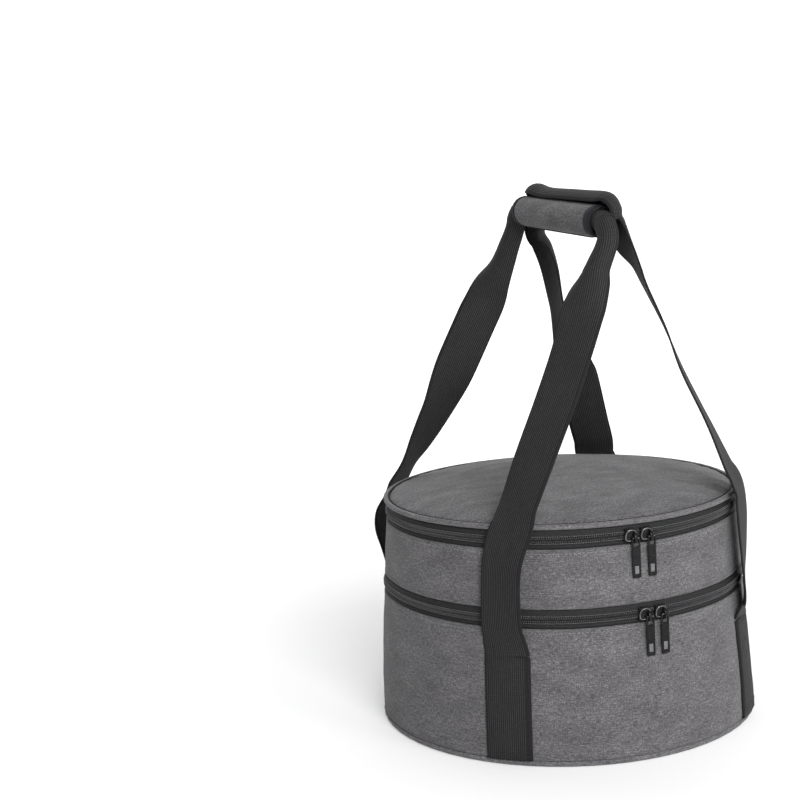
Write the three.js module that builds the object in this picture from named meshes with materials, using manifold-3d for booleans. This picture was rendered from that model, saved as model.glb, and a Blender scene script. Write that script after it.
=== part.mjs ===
// Round two-compartment insulated bag: a tall lower compartment, a shallow upper
// compartment and a domed lid, each closed by a two-way zip that ends at a rear
// hinge panel, with two webbing carry straps joined by a padded handle wrap.
// Millimetres, +Z up. The origin is the centre of the base on the surface it
// stands on. The front, where the zip sliders meet, is -Y.
import * as THREE from 'three';
import { mergeVertices } from 'three/addons/utils/BufferGeometryUtils.js';
import Module from 'manifold-3d';

// ---------------------------------------------------------------- dimensions
const BASE_RADIUS = 160;          // outer wall at the bottom edge
const MID_RADIUS = 152.7;         // outer wall at the lower zip
const RIM_RADIUS = 148.3;         // outer wall at the upper zip
const LOWER_ZIP_Z = 116.1;        // centre of the lower zip's chain
const UPPER_ZIP_Z = 178.1;        // centre of the upper zip's chain
const WALL_START_Z = 4.9;
const ZIP_TAPE_BELOW = 7.0;       // visible tape below a chain's centre
const ZIP_TAPE_ABOVE = 7.6;       // and above it
const COIL_HALF = 2.5;            // height of half a chain, from its centre
const CHAIN_GAP = 0.6;            // half the gap between the two coil halves
const FABRIC = 1.5;               // outer fabric
const FOAM = 5.0;                 // insulation
const LINER = 1.0;                // inner liner
const GAP = 0.3;                  // between pieces that touch
const DOME_TOP_Z = 204;
const PIPING_Z = 188.3;           // middle of the piping round the lid
const PIPING_R = 148.6;
const PANEL_HALF_ANGLE = 26;      // rear hinge panel, each side of the rear centre
const STRAP_ANGLE = 43;           // strap legs, from the front and rear centres
const WEBBING_WIDTH = 37;
const WEBBING_THICK = 1.6;
const SEWN_TOP_Z = 87;            // where the sewn webbing lets go of the wall
const STRAP_GAP = 0.3;            // between a strap's root and its loop
const WRAP_FRONT_Y = -85;
const WRAP_REAR_Y = 55;
const WRAP_X = 6.0;               // axis of the left grip inside the wrap
const WRAP_Z = 421;                // height of that axis over y = WRAP_LEVEL_Y
const WRAP_LEVEL_Y = -13.5;
const WRAP_SLOPE = 0.063;         // the handle's front end hangs lower
const GRIP_RADIUS = 8.5;          // the left webbing cups into an open tube in the wrap
const RIGHT_GRIP_X = 13.5;        // axis of the right grip, which lies folded over the wrap
const RIGHT_UPS = [[-75, 12.2], [-20, 11.2], [20, 10.6], [42, 13]];   // [y, its height over the left grip's axis]
const RIGHT_GRIP_TURN = 60;       // the fold's crest, turned up from the +X side
const WRAP_THICK = 2.5;
const LOWER_SLIDERS = [-2.55, 2.55];   // angles from the front centre
const UPPER_SLIDERS = [-5.35, -0.35];
const CROWN_RIGHT = 3.0;          // the crown stands this far right of a slider's centre
const PULL_RIGHTS = { lower: [3.6, 2.6], upper: [3.4, 3.6] };
const SLIDER_STAND = 1.4;         // back of a slider's outer plate, off the wall line
const PULL_LENGTH = 31.5;         // from its pivot
const PULL_WIDTH = 7.0;

const wasm = await Module();
wasm.setup();
const deg = Math.PI / 180;

// ------------------------------------------------------------------- helpers
// outer radius of the wall at height z
function wallR(z) {
  if (z <= LOWER_ZIP_Z) return BASE_RADIUS + (MID_RADIUS - BASE_RADIUS) * (z - WALL_START_Z) / (LOWER_ZIP_Z - WALL_START_Z);
  return MID_RADIUS + (RIM_RADIUS - MID_RADIUS) * (z - LOWER_ZIP_Z) / (UPPER_ZIP_Z - LOWER_ZIP_Z);
}
// a point at radius r, at an angle from the front centre towards +X, at height z
const polar = (r, angle, z) => new THREE.Vector3(r * Math.sin(angle * deg), -r * Math.cos(angle * deg), z);

// one set of angles for every ring, so that nested rings keep their gaps and the
// straps and the rear panel lie on whole facets
const halfStrap = (WEBBING_WIDTH / 2) / BASE_RADIUS / deg;
function ringAngles() {
  const marks = [0, STRAP_ANGLE - halfStrap, STRAP_ANGLE, STRAP_ANGLE + halfStrap, 180 - STRAP_ANGLE - halfStrap,
    180 - STRAP_ANGLE, 180 - STRAP_ANGLE + halfStrap, 180 - PANEL_HALF_ANGLE, 180];
  const side = [0];
  for (let i = 1; i < marks.length; i++) {
    const n = Math.max(1, Math.round((marks[i] - marks[i - 1]) / 7.6));
    for (let k = 1; k <= n; k++) side.push(marks[i - 1] + (marks[i] - marks[i - 1]) * k / n);
  }
  const left = side.slice(1, -1).map((a) => -a).reverse();
  return [...left, ...side];
}
const ANGLES = ringAngles();

function fromTriangles(points, index) {
  const g = new THREE.BufferGeometry();
  const flat = new Float32Array(points.length * 3);
  points.forEach((p, i) => { flat[3 * i] = p.x; flat[3 * i + 1] = p.y; flat[3 * i + 2] = p.z; });
  let volume = 0;
  const a = new THREE.Vector3();
  for (let i = 0; i < index.length; i += 3) {
    volume += points[index[i]].dot(a.crossVectors(points[index[i + 1]], points[index[i + 2]]));
  }
  const order = index.slice();
  if (volume < 0) for (let i = 0; i < order.length; i += 3) [order[i + 1], order[i + 2]] = [order[i + 2], order[i + 1]];
  g.setAttribute('position', new THREE.BufferAttribute(flat, 3));
  g.setIndex(order);
  g.computeVertexNormals();
  return g;
}

// joins equal sections one after another; an open run gets an end cap made from
// the section's flat outline
function loft(sections, closed, outline) {
  const n = sections[0].length;
  const points = sections.flat();
  const index = [];
  const last = closed ? sections.length : sections.length - 1;
  for (let i = 0; i < last; i++) {
    const a = i * n;
    const b = ((i + 1) % sections.length) * n;
    for (let j = 0; j < n; j++) {
      const k = (j + 1) % n;
      index.push(a + j, b + j, b + k, a + j, b + k, a + k);
    }
  }
  if (!closed) {
    const faces = THREE.ShapeUtils.triangulateShape(outline, []);
    // the caps face opposite ways, turned to suit the side quads
    const area = THREE.ShapeUtils.area(outline);
    const end = (sections.length - 1) * n;
    for (const [p, q, r] of faces) {
      const f = new THREE.Vector2().subVectors(outline[q], outline[p]).cross(new THREE.Vector2().subVectors(outline[r], outline[p]));
      const same = (f > 0) === (area > 0);
      if (same) { index.push(p, q, r); index.push(end + p, end + r, end + q); }
      else { index.push(p, r, q); index.push(end + p, end + q, end + r); }
    }
  }
  return fromTriangles(points, index);
}

// a full ring of a closed profile of [r, z] points
const ring = (profile) => loft(ANGLES.map((a) => profile.map(([r, z]) => polar(r, a, z))), true);
// part of a ring between two angles of the set; inset trims its two ends
function sector(profile, from, to, inset = 0) {
  const list = [];
  for (let turn = 0; turn <= 360; turn += 360) {
    for (const a of ANGLES) {
      const b = a + turn;
      if (b > from - 1e-6 && b < to + 1e-6 && !list.some((c) => Math.abs(c - b) < 1e-6)) list.push(b);
    }
  }
  list.sort((a, b) => a - b);
  list[0] += inset;
  list[list.length - 1] -= inset;
  return loft(list.map((a) => profile.map(([r, z]) => polar(r, a, z))), false, profile.map(([r, z]) => new THREE.Vector2(r, z)));
}
// a solid turned about the axis, from a profile whose first and last points are on it
function turned(profile) {
  const inner = profile.slice(1, -1);
  const points = [new THREE.Vector3(0, 0, profile[0][1]), new THREE.Vector3(0, 0, profile[profile.length - 1][1])];
  const n = inner.length;
  for (const a of ANGLES) for (const [r, z] of inner) points.push(polar(r, a, z));
  const index = [];
  const count = ANGLES.length;
  for (let i = 0; i < count; i++) {
    const a = 2 + i * n;
    const b = 2 + ((i + 1) % count) * n;
    index.push(0, b, a);
    for (let j = 0; j < n - 1; j++) index.push(a + j, b + j, b + j + 1, a + j, b + j + 1, a + j + 1);
    index.push(1, a + n - 1, b + n - 1);
  }
  return fromTriangles(points, index);
}

function toSolid(geometry) {
  let g = geometry.clone();
  for (const name of Object.keys(g.attributes)) if (name !== 'position') g.deleteAttribute(name);
  g = mergeVertices(g, 1e-4);
  return new wasm.Manifold(new wasm.Mesh({
    numProp: 3, vertProperties: new Float32Array(g.attributes.position.array), triVerts: new Uint32Array(g.index.array),
  }));
}
function toGeometry(solid) {
  const m = solid.getMesh();
  const g = new THREE.BufferGeometry();
  const flat = new Float32Array(m.numVert * 3);
  for (let i = 0; i < m.numVert; i++) for (let k = 0; k < 3; k++) flat[3 * i + k] = m.vertProperties[i * m.numProp + k];
  g.setAttribute('position', new THREE.BufferAttribute(flat, 3));
  g.setIndex(Array.from(m.triVerts));
  g.computeVertexNormals();
  return g;
}

// ----------------------------------------------------------------- materials
const fabric = () => new THREE.MeshStandardMaterial({ color: 0x6d6e70, roughness: 0.9, metalness: 0 });
const webbing = () => new THREE.MeshStandardMaterial({ color: 0x343639, roughness: 0.75, metalness: 0 });
const zipTape = () => new THREE.MeshStandardMaterial({ color: 0x26272a, roughness: 0.8, metalness: 0 });
const foam = () => new THREE.MeshStandardMaterial({ color: 0xe9e7e0, roughness: 0.95, metalness: 0 });
const liner = () => new THREE.MeshStandardMaterial({ color: 0xb9bcc0, roughness: 0.35, metalness: 0.6 });
const board = () => new THREE.MeshStandardMaterial({ color: 0xd8d8d4, roughness: 0.6, metalness: 0 });
const metal = () => new THREE.MeshStandardMaterial({ color: 0x3a3c40, roughness: 0.3, metalness: 0.9 });

const bag = new THREE.Group();
function add(parent, name, geometry, material) {
  const mesh = new THREE.Mesh(geometry, material);
  mesh.name = name;
  parent.add(mesh);
  return mesh;
}
const lower = new THREE.Group();
const upper = new THREE.Group();
const lid = new THREE.Group();
const straps = new THREE.Group();
bag.add(lower, upper, lid, straps);

// --------------------------------------------------------- lower compartment
const SHELL_TOP = LOWER_ZIP_Z - ZIP_TAPE_BELOW - GAP;      // top edge of the lower wall
add(lower, 'base_outer_panel', turned([[0, 0], [155, 0], [155, 1.5], [0, 1.5]]), fabric());
add(lower, 'base_welt', ring([[155.4, 0.6], [156.7, 0], [158.8, 0], [160.2, 1.4], [160.2, 3.3], [158.9, 4.6], [155.4, 4.6]]), fabric());
add(lower, 'base_board', turned([[0, 1.8], [151, 1.8], [151, 4.3], [0, 4.3]]), board());
add(lower, 'base_foam', turned([[0, 4.6], [151.8, 4.6], [151.8, 9.6], [0, 9.6]]), foam());

// a wall band between two heights, from `out` to `out + thick` inside the wall line
function wallProfile(z0, z1, out, thick) {
  return [[wallR(z0) - out, z0], [wallR(z1) - out, z1], [wallR(z1) - out - thick, z1], [wallR(z0) - out - thick, z0]];
}
const FOAM_OUT = FABRIC + GAP;
const LINER_OUT = FOAM_OUT + FOAM + GAP;
add(lower, 'lower_wall_shell', ring(wallProfile(WALL_START_Z, SHELL_TOP, 0, FABRIC)), fabric());
add(lower, 'lower_wall_foam', ring(wallProfile(WALL_START_Z, SHELL_TOP - 1.5, FOAM_OUT, FOAM)), foam());
add(lower, 'lower_liner', turned([[0, 9.9], [wallR(9.9) - LINER_OUT, 9.9], [wallR(SHELL_TOP) - LINER_OUT, SHELL_TOP],
  [wallR(SHELL_TOP) - LINER_OUT - LINER, SHELL_TOP], [wallR(14.9) - LINER_OUT - LINER, 14.9], [wallR(10.9) - LINER_OUT - LINER - 5, 10.9], [0, 10.9]]), liner());

// half of a zip: a flat tape with the coil standing out along its inner edge
function tapeProfile(zipZ, above) {
  const r = wallR(zipZ) - 0.3;
  const edge = above ? zipZ + ZIP_TAPE_ABOVE : zipZ - ZIP_TAPE_BELOW;
  const s = above ? 1 : -1;
  return [[r, edge], [r, zipZ + s * COIL_HALF], [r + 1.3, zipZ + s * (COIL_HALF - 0.5)], [r + 1.3, zipZ + s * CHAIN_GAP],
    [r - 1.2, zipZ + s * CHAIN_GAP], [r - 1.2, edge]];
}
const ZIP_END = 180 - PANEL_HALF_ANGLE;
const tape = (zipZ, above) => sector(tapeProfile(zipZ, above), -ZIP_END, ZIP_END, 0.2);
add(lower, 'lower_zip_tape_lower', tape(LOWER_ZIP_Z, false), zipTape());

// the rear hinge panel, laid on the outside of the walls, in three stretches that
// meet at the two hinge lines
const panelProfile = (z0, z1) => [[wallR(z0) + GAP, z0], [wallR(z1) + GAP, z1], [wallR(z1) + GAP + 1.2, z1], [wallR(z0) + GAP + 1.2, z0]];
const panel = (z0, z1) => sector(panelProfile(z0, z1), ZIP_END, 360 - ZIP_END);
add(lower, 'rear_panel_lower', panel(WALL_START_Z + 0.1, LOWER_ZIP_Z - 0.4), fabric());

// the four sewn webbing ends on the lower wall
const STRAP_PLACES = [
  ['left_front', -STRAP_ANGLE], ['left_rear', -(180 - STRAP_ANGLE)],
  ['right_front', STRAP_ANGLE], ['right_rear', 180 - STRAP_ANGLE],
];
for (const [place, at] of STRAP_PLACES) {
  const z0 = WALL_START_Z + 0.2;
  add(lower, `strap_sewn_${place}`, sector([[wallR(z0) + GAP, z0], [wallR(SEWN_TOP_Z) + GAP, SEWN_TOP_Z],
    [wallR(SEWN_TOP_Z) + GAP + WEBBING_THICK, SEWN_TOP_Z], [wallR(z0) + GAP + WEBBING_THICK, z0]], at - halfStrap, at + halfStrap), webbing());
}

// --------------------------------------------------------- upper compartment
const BAND_BOTTOM = LOWER_ZIP_Z + ZIP_TAPE_ABOVE + GAP;
const BAND_TOP = UPPER_ZIP_Z - ZIP_TAPE_BELOW - GAP;
add(upper, 'lower_zip_tape_upper', tape(LOWER_ZIP_Z, true), zipTape());
add(upper, 'divider_panel', turned([[0, LOWER_ZIP_Z + 1.7], [150.4, LOWER_ZIP_Z + 1.7], [150.4, BAND_BOTTOM - GAP], [0, BAND_BOTTOM - GAP]]), foam());
add(upper, 'band_wall_shell', ring(wallProfile(BAND_BOTTOM, BAND_TOP, 0, FABRIC)), fabric());
add(upper, 'band_foam', ring(wallProfile(BAND_BOTTOM, BAND_TOP - 1, FOAM_OUT, FOAM)), foam());
add(upper, 'band_liner', turned([[0, BAND_BOTTOM + 0.2], [wallR(BAND_BOTTOM + 0.2) - LINER_OUT, BAND_BOTTOM + 0.2],
  [wallR(BAND_TOP) - LINER_OUT, BAND_TOP], [wallR(BAND_TOP) - LINER_OUT - LINER, BAND_TOP],
  [wallR(BAND_BOTTOM + 5.2) - LINER_OUT - LINER, BAND_BOTTOM + 5.2], [wallR(BAND_BOTTOM + 1.2) - LINER_OUT - LINER - 5, BAND_BOTTOM + 1.2], [0, BAND_BOTTOM + 1.2]]), liner());
add(upper, 'upper_zip_tape_lower', tape(UPPER_ZIP_Z, false), zipTape());
add(upper, 'rear_panel_upper', panel(LOWER_ZIP_Z + 0.4, UPPER_ZIP_Z - 0.4), fabric());

// ----------------------------------------------------------------------- lid
const LID_TAPE_TOP = UPPER_ZIP_Z + ZIP_TAPE_ABOVE;
add(lid, 'upper_zip_tape_upper', tape(UPPER_ZIP_Z, true), zipTape());
add(lid, 'rear_panel_lid_edge', panel(UPPER_ZIP_Z + 0.4, LID_TAPE_TOP), fabric());
const pr = 2.2;
add(lid, 'lid_piping', ring([[PIPING_R - pr, PIPING_Z - 0.9], [PIPING_R - 0.9, PIPING_Z - pr], [PIPING_R + 0.9, PIPING_Z - pr],
  [PIPING_R + pr, PIPING_Z - 0.9], [PIPING_R + pr, PIPING_Z + 0.9], [PIPING_R + 0.9, PIPING_Z + pr],
  [PIPING_R - 0.9, PIPING_Z + pr], [PIPING_R - pr, PIPING_Z + 0.9]]), fabric());
const domeEdge = PIPING_R - pr - GAP;
// the dome's section from its edge to the middle, dropped and drawn in by `d`
function domeCurve(d) {
  return [[domeEdge - d, LID_TAPE_TOP + 0.7], [domeEdge - d, 188.2 - 0.35 * d], [141 - 0.85 * d, 191.8 - 0.85 * d],
    [118 - 0.3 * d, 196.2 - 0.98 * d], [75 - 0.1 * d, 201.3 - d], [0, DOME_TOP_Z - d]];
}
function domeShell(d0, d1, drop = 0) {
  const outer = domeCurve(d0);
  const inside = domeCurve(d1);
  outer[0] = [outer[0][0], outer[0][1] - drop];
  inside[0] = [inside[0][0], inside[0][1] - drop];
  return turned([...outer.slice().reverse(), ...inside]);
}
add(lid, 'lid_dome', domeShell(0, FABRIC), fabric());
add(lid, 'lid_foam', domeShell(FABRIC + 0.45, FABRIC + 0.45 + FOAM), foam());
add(lid, 'lid_liner', domeShell(FABRIC + 0.9 + FOAM, FABRIC + 0.9 + FOAM + LINER, 2.5), liner());

// ------------------------------------------------------------ sliders, pulls
// A slider in its own frame: X along the zip, Y out of the wall, Z up. An outer
// plate with a crown over it, a thin web through the chain's gap and an inner
// plate behind the lower tape.
function outlineShape(points, holes) {
  const outer = points.map(([u, v]) => new THREE.Vector2(u, v));
  if (THREE.ShapeUtils.isClockWise(outer)) outer.reverse();
  const shape = new THREE.Shape(outer);
  for (const hole of holes) shape.holes.push(new THREE.Path(hole.map(([u, v]) => new THREE.Vector2(u, v))));
  return shape;
}
function extrudeX(points, holes, x0, x1) {
  // outline in (y, z), extruded along x
  const shape = outlineShape(points, holes);
  const g = new THREE.ExtrudeGeometry(shape, { depth: x1 - x0, bevelEnabled: false });
  // (u, v, w) -> (w, u, v)
  g.applyMatrix4(new THREE.Matrix4().set(0, 0, 1, x0, 1, 0, 0, 0, 0, 1, 0, 0, 0, 0, 0, 1));
  return g;
}
function extrudeY(points, holes, y0, y1) {
  // outline in (x, z), extruded along y
  const shape = outlineShape(points, holes);
  const g = new THREE.ExtrudeGeometry(shape, { depth: y1 - y0, bevelEnabled: false });
  // (u, v, w) -> (u, y1 - w, v)
  g.applyMatrix4(new THREE.Matrix4().set(1, 0, 0, 0, 0, 0, -1, y1, 0, 1, 0, 0, 0, 0, 0, 1));
  return g;
}
const plateOutline = [[-5.7, -3.4], [-4.3, -5.0], [4.3, -5.0], [5.7, -3.4], [5.7, 3.0], [3.9, 5.2], [-3.9, 5.2], [-5.7, 3.0]];
const archOuter = [];
const archHole = [];
for (let i = 0; i <= 8; i++) {
  const a = Math.PI * i / 8;
  archOuter.push([1.6 + 4.0 * Math.sin(a), -2.0 + 4.3 * Math.cos(a)]);
}
for (let i = 0; i <= 8; i++) {
  const a = Math.PI * i / 8;
  archHole.push([2.15 + 2.25 * Math.sin(a), -2.0 + 2.9 * Math.cos(a)]);
}
const plate = toSolid(extrudeY(plateOutline, [], 0, 2.0));
const arch = toSolid(extrudeX(archOuter, [archHole], -CROWN_RIGHT - 1.1, -CROWN_RIGHT + 1.1));
const web = toSolid(extrudeX([[0.5, -0.3], [0.5, 0.3], [-4.2, 0.3], [-4.2, -0.3]], [], -1.6, 1.6));
const innerPlate = toSolid(extrudeX([[-3.7, -5.2], [-3.7, 0.3], [-4.6, 0.3], [-4.6, -5.2]], [], -3.8, 3.8));
const sliderGeometry = () => toGeometry(plate.add(arch).add(web).add(innerPlate));

// the pull: a flat plate hung on a bar inside the crown, with a window for the
// crown at its top and a narrow one near its lower end; its pivot is its origin
const h = PULL_WIDTH / 2;
const pullOutline = [[-h + 0.7, 0.6], [-h, -0.1], [-h, -PULL_LENGTH + 1.0], [-h + 1.0, -PULL_LENGTH], [h - 1.0, -PULL_LENGTH],
  [h, -PULL_LENGTH + 1.0], [h, -0.1], [h - 0.7, 0.6]];
const crownWindow = [[-2.1, -0.55], [2.1, -0.55], [2.1, -6.6], [-2.1, -6.6]];
const lowWindow = [[-1.5, -PULL_LENGTH + 9.5], [1.5, -PULL_LENGTH + 9.5], [1.5, -PULL_LENGTH + 3.0], [-1.5, -PULL_LENGTH + 3.0]];
const pullGeometry = () => extrudeY(pullOutline, [crownWindow, lowWindow], -0.5, 0.5);
const PIVOT_OUT = 3.25;           // pivot of a pull, out of the plate's back
const PIVOT_DOWN = 2.0;           // and below the slider's centre

function placeOnWall(object, angle, out, z) {
  // local X along the zip, local Y outwards
  const p = polar(out, angle, z);
  object.position.copy(p);
  object.rotation.set(0, 0, (angle + 180) * deg);
}
function sliderPair(parent, label, zipZ, angles) {
  angles.forEach((angle, i) => {
    const side = i === 0 ? 'left' : 'right';
    const back = wallR(zipZ) + SLIDER_STAND;
    const s = add(parent, `${label}_slider_${side}`, sliderGeometry(), metal());
    placeOnWall(s, angle, back, zipZ);
    const p = add(parent, `${label}_pull_${side}`, pullGeometry(), metal());
    placeOnWall(p, angle, back + PIVOT_OUT, zipZ - PIVOT_DOWN);
    p.position.add(new THREE.Vector3(Math.cos(angle * deg), Math.sin(angle * deg), 0).multiplyScalar(PULL_RIGHTS[label][i]));
  });
}
sliderPair(lower, 'lower', LOWER_ZIP_Z, LOWER_SLIDERS);
sliderPair(upper, 'upper', UPPER_ZIP_Z, UPPER_SLIDERS);

// -------------------------------------------------------------------- straps
// A webbing ribbon through stations {at, wide, cup}: `wide` is the direction of
// its width and `cup` how many degrees its width curls through.
const ACROSS = 5;
function ribbon(stations) {
  const sections = [];
  const outline = [];
  for (let i = 0; i < stations.length; i++) {
    const { at, wide, cup } = stations[i];
    const before = stations[Math.max(0, i - 1)].at;
    const after = stations[Math.min(stations.length - 1, i + 1)].at;
    const t = stations[i].along ? stations[i].along.clone().normalize() : after.clone().sub(before).normalize();
    const w = wide.clone().addScaledVector(t, -wide.dot(t)).normalize();
    const n = new THREE.Vector3().crossVectors(t, w).multiplyScalar(stations[i].mirror ? -1 : 1);
    const beta = Math.max(0.5, cup) * deg;
    const rho = WEBBING_WIDTH / beta;
    const face = (off) => {
      const row = [];
      for (let k = 0; k <= ACROSS; k++) {
        const a = beta * (k / ACROSS - 0.5);
        const r = rho - off;
        row.push(at.clone().addScaledVector(w, r * Math.sin(a)).addScaledVector(n, rho - r * Math.cos(a)));
      }
      return row;
    };
    sections.push([...face(WEBBING_THICK / 2), ...face(-WEBBING_THICK / 2).reverse()]);
  }
  for (let k = 0; k <= ACROSS; k++) outline.push(new THREE.Vector2(k, 1));
  for (let k = ACROSS; k >= 0; k--) outline.push(new THREE.Vector2(k, 0));
  return loft(sections, false, outline);
}
const gripZ = (y) => WRAP_Z + WRAP_SLOPE * (y - WRAP_LEVEL_Y);
const V = (x, y, z) => new THREE.Vector3(x, y, z);

// stations of one strap, drawn for the left side; side = 1 mirrors them to the
// right. Each leg: [x, y, z, wide x, wide y, cup]. The grip runs along an axis and
// its webbing bulges away from it; `turn` raises the crest of the right one.
function strapStations(side, frontLeg, rearLeg, grip) {
  const m = side;                                  // -1 left, +1 right
  const list = [];
  const push = (x, y, z, wx, wy, cup) => list.push({ at: V(x * -m, y, z), wide: V(wx * -m, wy, 0), cup, mirror: m > 0 });
  // a station of the grip or its bends, `a` down from level towards the end `end`
  const gripAt = (y0, end, radius, a, drift) => {
    const share = a / 82;
    const turn = grip.turn * (1 - share) * deg;
    const cup = grip.cup + (grip.endCup - grip.cup) * share;
    const out = WEBBING_WIDTH / (cup * deg);
    const y = y0 + end * radius * Math.sin(a * deg);
    const z = gripZ(y0) + grip.up(y0) - radius * (1 - Math.cos(a * deg));
    const lift = V(0, end * Math.sin(a * deg), Math.cos(a * deg));
    const x = V(m, 0, 0);
    const at = V(grip.x + m * drift * share, y, z).addScaledVector(x, out * Math.cos(turn)).addScaledVector(lift, out * Math.sin(turn));
    const wide = V(0, 0, 0).addScaledVector(x, -Math.sin(turn)).addScaledVector(lift, Math.cos(turn));
    list.push({ at, wide, cup, mirror: m > 0, along: V(0, end < 0 ? Math.cos(a * deg) : Math.cos(a * deg), -end * Math.sin(a * deg)) });
  };
  for (const station of frontLeg) push(...station);
  const [y0, y1] = grip.ends;
  for (const a of [82, 55, 27]) gripAt(y0, -1, grip.frontRadius, a, grip.frontDrift);
  for (const y of [y0, (y0 - 20) / 2, -20, 20, y1]) gripAt(y, 1, 16, 0, 0);
  for (const a of [27, 55, 82]) gripAt(y1, 1, grip.rearRadius, a, grip.rearDrift);
  for (const station of rearLeg) push(...station);
  return list;
}
// [z, radius, angle] just above each sewn end, where the webbing bends out
const BEND = [[SEWN_TOP_Z + GAP, wallR(SEWN_TOP_Z) + GAP + WEBBING_THICK / 2, STRAP_ANGLE], [94, 156.8, 43], [103, 158.4, 43]];
// where a leg stands along the wall: [z, radius, angle from the front or rear centre]
const standOff = (rows, rear, flip) => rows.map(([z, r, angle, turn = 0]) => {
  const f = flip ? -1 : 1;
  const w = (angle + turn) * deg;
  return [-r * Math.sin(angle * deg), (rear ? 1 : -1) * r * Math.cos(angle * deg), z, f * Math.cos(w), f * (rear ? 1 : -1) * Math.sin(w), 0];
});
// a fourth value turns the webbing about its own length
const TURNED = [BEND[0], [94, 156.8, 43.1, 4], [103, 158.7, 43.4, 9], [112, 160.2, 43.7, 13], [136, 160.6, 43.6, 17], [158, 159.2, 43.2, 17], [176, 157, 41.8, 14]];
const CLOSE = [...BEND, [112, 159.6, 43], [136, 160, 43], [158, 158, 42.8], [176, 155.6, 41.6], [190, 154.2, 39.6]];
const STOOD = [...BEND, [112, 159.6, 43], [136, 159.4, 43], [158, 158.6, 43.5], [176, 157.6, 44.2], [192, 156.2, 44.2]];
const BULGED = [...BEND, [112, 159.6, 43], [130, 164.5, 43], [148, 169.5, 43.2], [164, 168, 43], [178, 160, 42.2], [190, 154.8, 41]];

const leftFront = [...standOff(TURNED, false), [-99.8, -119.8, 190, 0.575, -0.818, 0], [-94.2, -116.6, 201, 0.47, -0.883, 0], [-88.2, -114, 211, 0.45, -0.893, 0], [-74.2, -112, 240, 0.53, -0.848, 0], [-52.6, -109.5, 283, 0.56, -0.828, 0],
  [-36.6, -107, 318, 0.55, -0.835, 6], [-26.2, -105, 345, 0.64, -0.768, 20], [-21.8, -104.5, 358, 0.66, -0.75, 40], [-17.6, -103.5, 373, 0.6, -0.8, 75], [-14, -102, 388, 0.33, -0.94, 135]];
const leftRear = [[-9, 73.5, 398, -0.1, 1, 190], [-13.5, 76.5, 383, -0.26, 0.966, 140], [-19.4, 80, 365, -0.574, 0.819, 85], [-23.8, 83.4, 348, -0.82, 0.574, 45],
  [-31.8, 87, 330, -0.92, 0.39, 15], [-47.9, 94, 295, -0.934, 0.357, 0], [-63.1, 101, 260, -0.985, -0.17, 0], [-72.5, 104.6, 242, -0.94, -0.34, 0], [-82.5, 108, 224, -0.866, -0.5, 0],
  [-93, 111.5, 206, -0.73, -0.683, 0], ...standOff(BULGED, true, true).reverse()];
const rightFront = [...standOff(STOOD, false), [-102.5, -114.2, 204.5, 0.66, -0.75, 0], [-96.1, -113.8, 217, 0.631, -0.776, 0], [-83.7, -112.6, 245.3, 0.56, -0.829, 0], [-75.3, -111, 264, 0.53, -0.848, 0],
  [-59.8, -108.2, 297.7, 0.513, -0.858, 0], [-49.2, -104.3, 329.7, 0.454, -0.891, 0], [-35, -98.7, 365.6, 0.39, -0.92, 4], [-31.2, -96.4, 379.3, 0.33, -0.944, 14],
  [-26.5, -94, 392.3, 0.15, -0.99, 40], [-23.5, -92, 404, 0.03, -1, 85]];
const rightRear = [[-31, 72, 408, 0, 1, 180], [-37.5, 74.5, 394, 0.05, 1, 130], [-44.6, 79, 372, 0, 1, 80], [-49.8, 84.5, 342, -0.08, 0.997, 35],
  [-54, 88.4, 323, -0.05, 0.999, 12], [-61.5, 93, 300, 0.25, 0.968, 4], [-69, 97, 280, 0.74, 0.67, 0], [-75.2, 100, 264, 0.89, 0.45, 0], [-87.5, 108, 224, 0.88, 0.475, 0],
  [-94, 112, 204, 0.84, 0.545, 0], ...standOff(CLOSE, true).reverse()];

function rightUp(y) {
  for (let i = 1; i < RIGHT_UPS.length; i++) {
    const [ya, ua] = RIGHT_UPS[i - 1];
    const [yb, ub] = RIGHT_UPS[i];
    if (y <= yb) return ua + (ub - ua) * Math.max(0, (y - ya) / (yb - ya));
  }
  return RIGHT_UPS[RIGHT_UPS.length - 1][1];
}
// One length of webbing is cut over the rim at each end, between its root, which
// bends when the strap is laid aside, and the loop above.
function strapParts(stations, front, rear) {
  const tangent = (i) => stations[i + 1].at.clone().sub(stations[i - 1].at).normalize();
  const cut = (i, way) => ({ ...stations[i], at: stations[i].at.clone().addScaledVector(tangent(i), way * STRAP_GAP / 2), along: tangent(i) });
  const upright = (station, way) => ({ ...station, along: V(0, 0, way) });
  const last = stations.length - 1;
  const j = last - rear;
  return [
    [upright(stations[0], 1), ...stations.slice(1, front), cut(front, -1)],
    [cut(front, 1), ...stations.slice(front + 1, j), cut(j, -1)],
    [cut(j, 1), ...stations.slice(j + 1, last), upright(stations[last], -1)],
  ];
}
const leftParts = strapParts(strapStations(-1, leftFront, leftRear,
  { x: WRAP_X, up: () => 0, turn: 0, cup: 250, endCup: 205, frontRadius: 16, frontDrift: 4, rearRadius: 15, rearDrift: 1.5, ends: [WRAP_FRONT_Y - 1, WRAP_REAR_Y + 1] }), 7, 8);
const rightParts = strapParts(strapStations(1, rightFront, rightRear,
  { x: RIGHT_GRIP_X, up: rightUp, turn: RIGHT_GRIP_TURN, cup: 204, endCup: 150, frontRadius: 13, frontDrift: -6, rearRadius: 12, rearDrift: 6, ends: [-75, 42] }), 7, 7);
add(straps, 'strap_root_left_front', ribbon(leftParts[0]), webbing());
add(straps, 'strap_root_left_rear', ribbon(leftParts[2]), webbing());
add(straps, 'strap_root_right_front', ribbon(rightParts[0]), webbing());
add(straps, 'strap_root_right_rear', ribbon(rightParts[2]), webbing());
add(straps, 'strap_loop_left', ribbon(leftParts[1]), webbing());
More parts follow.
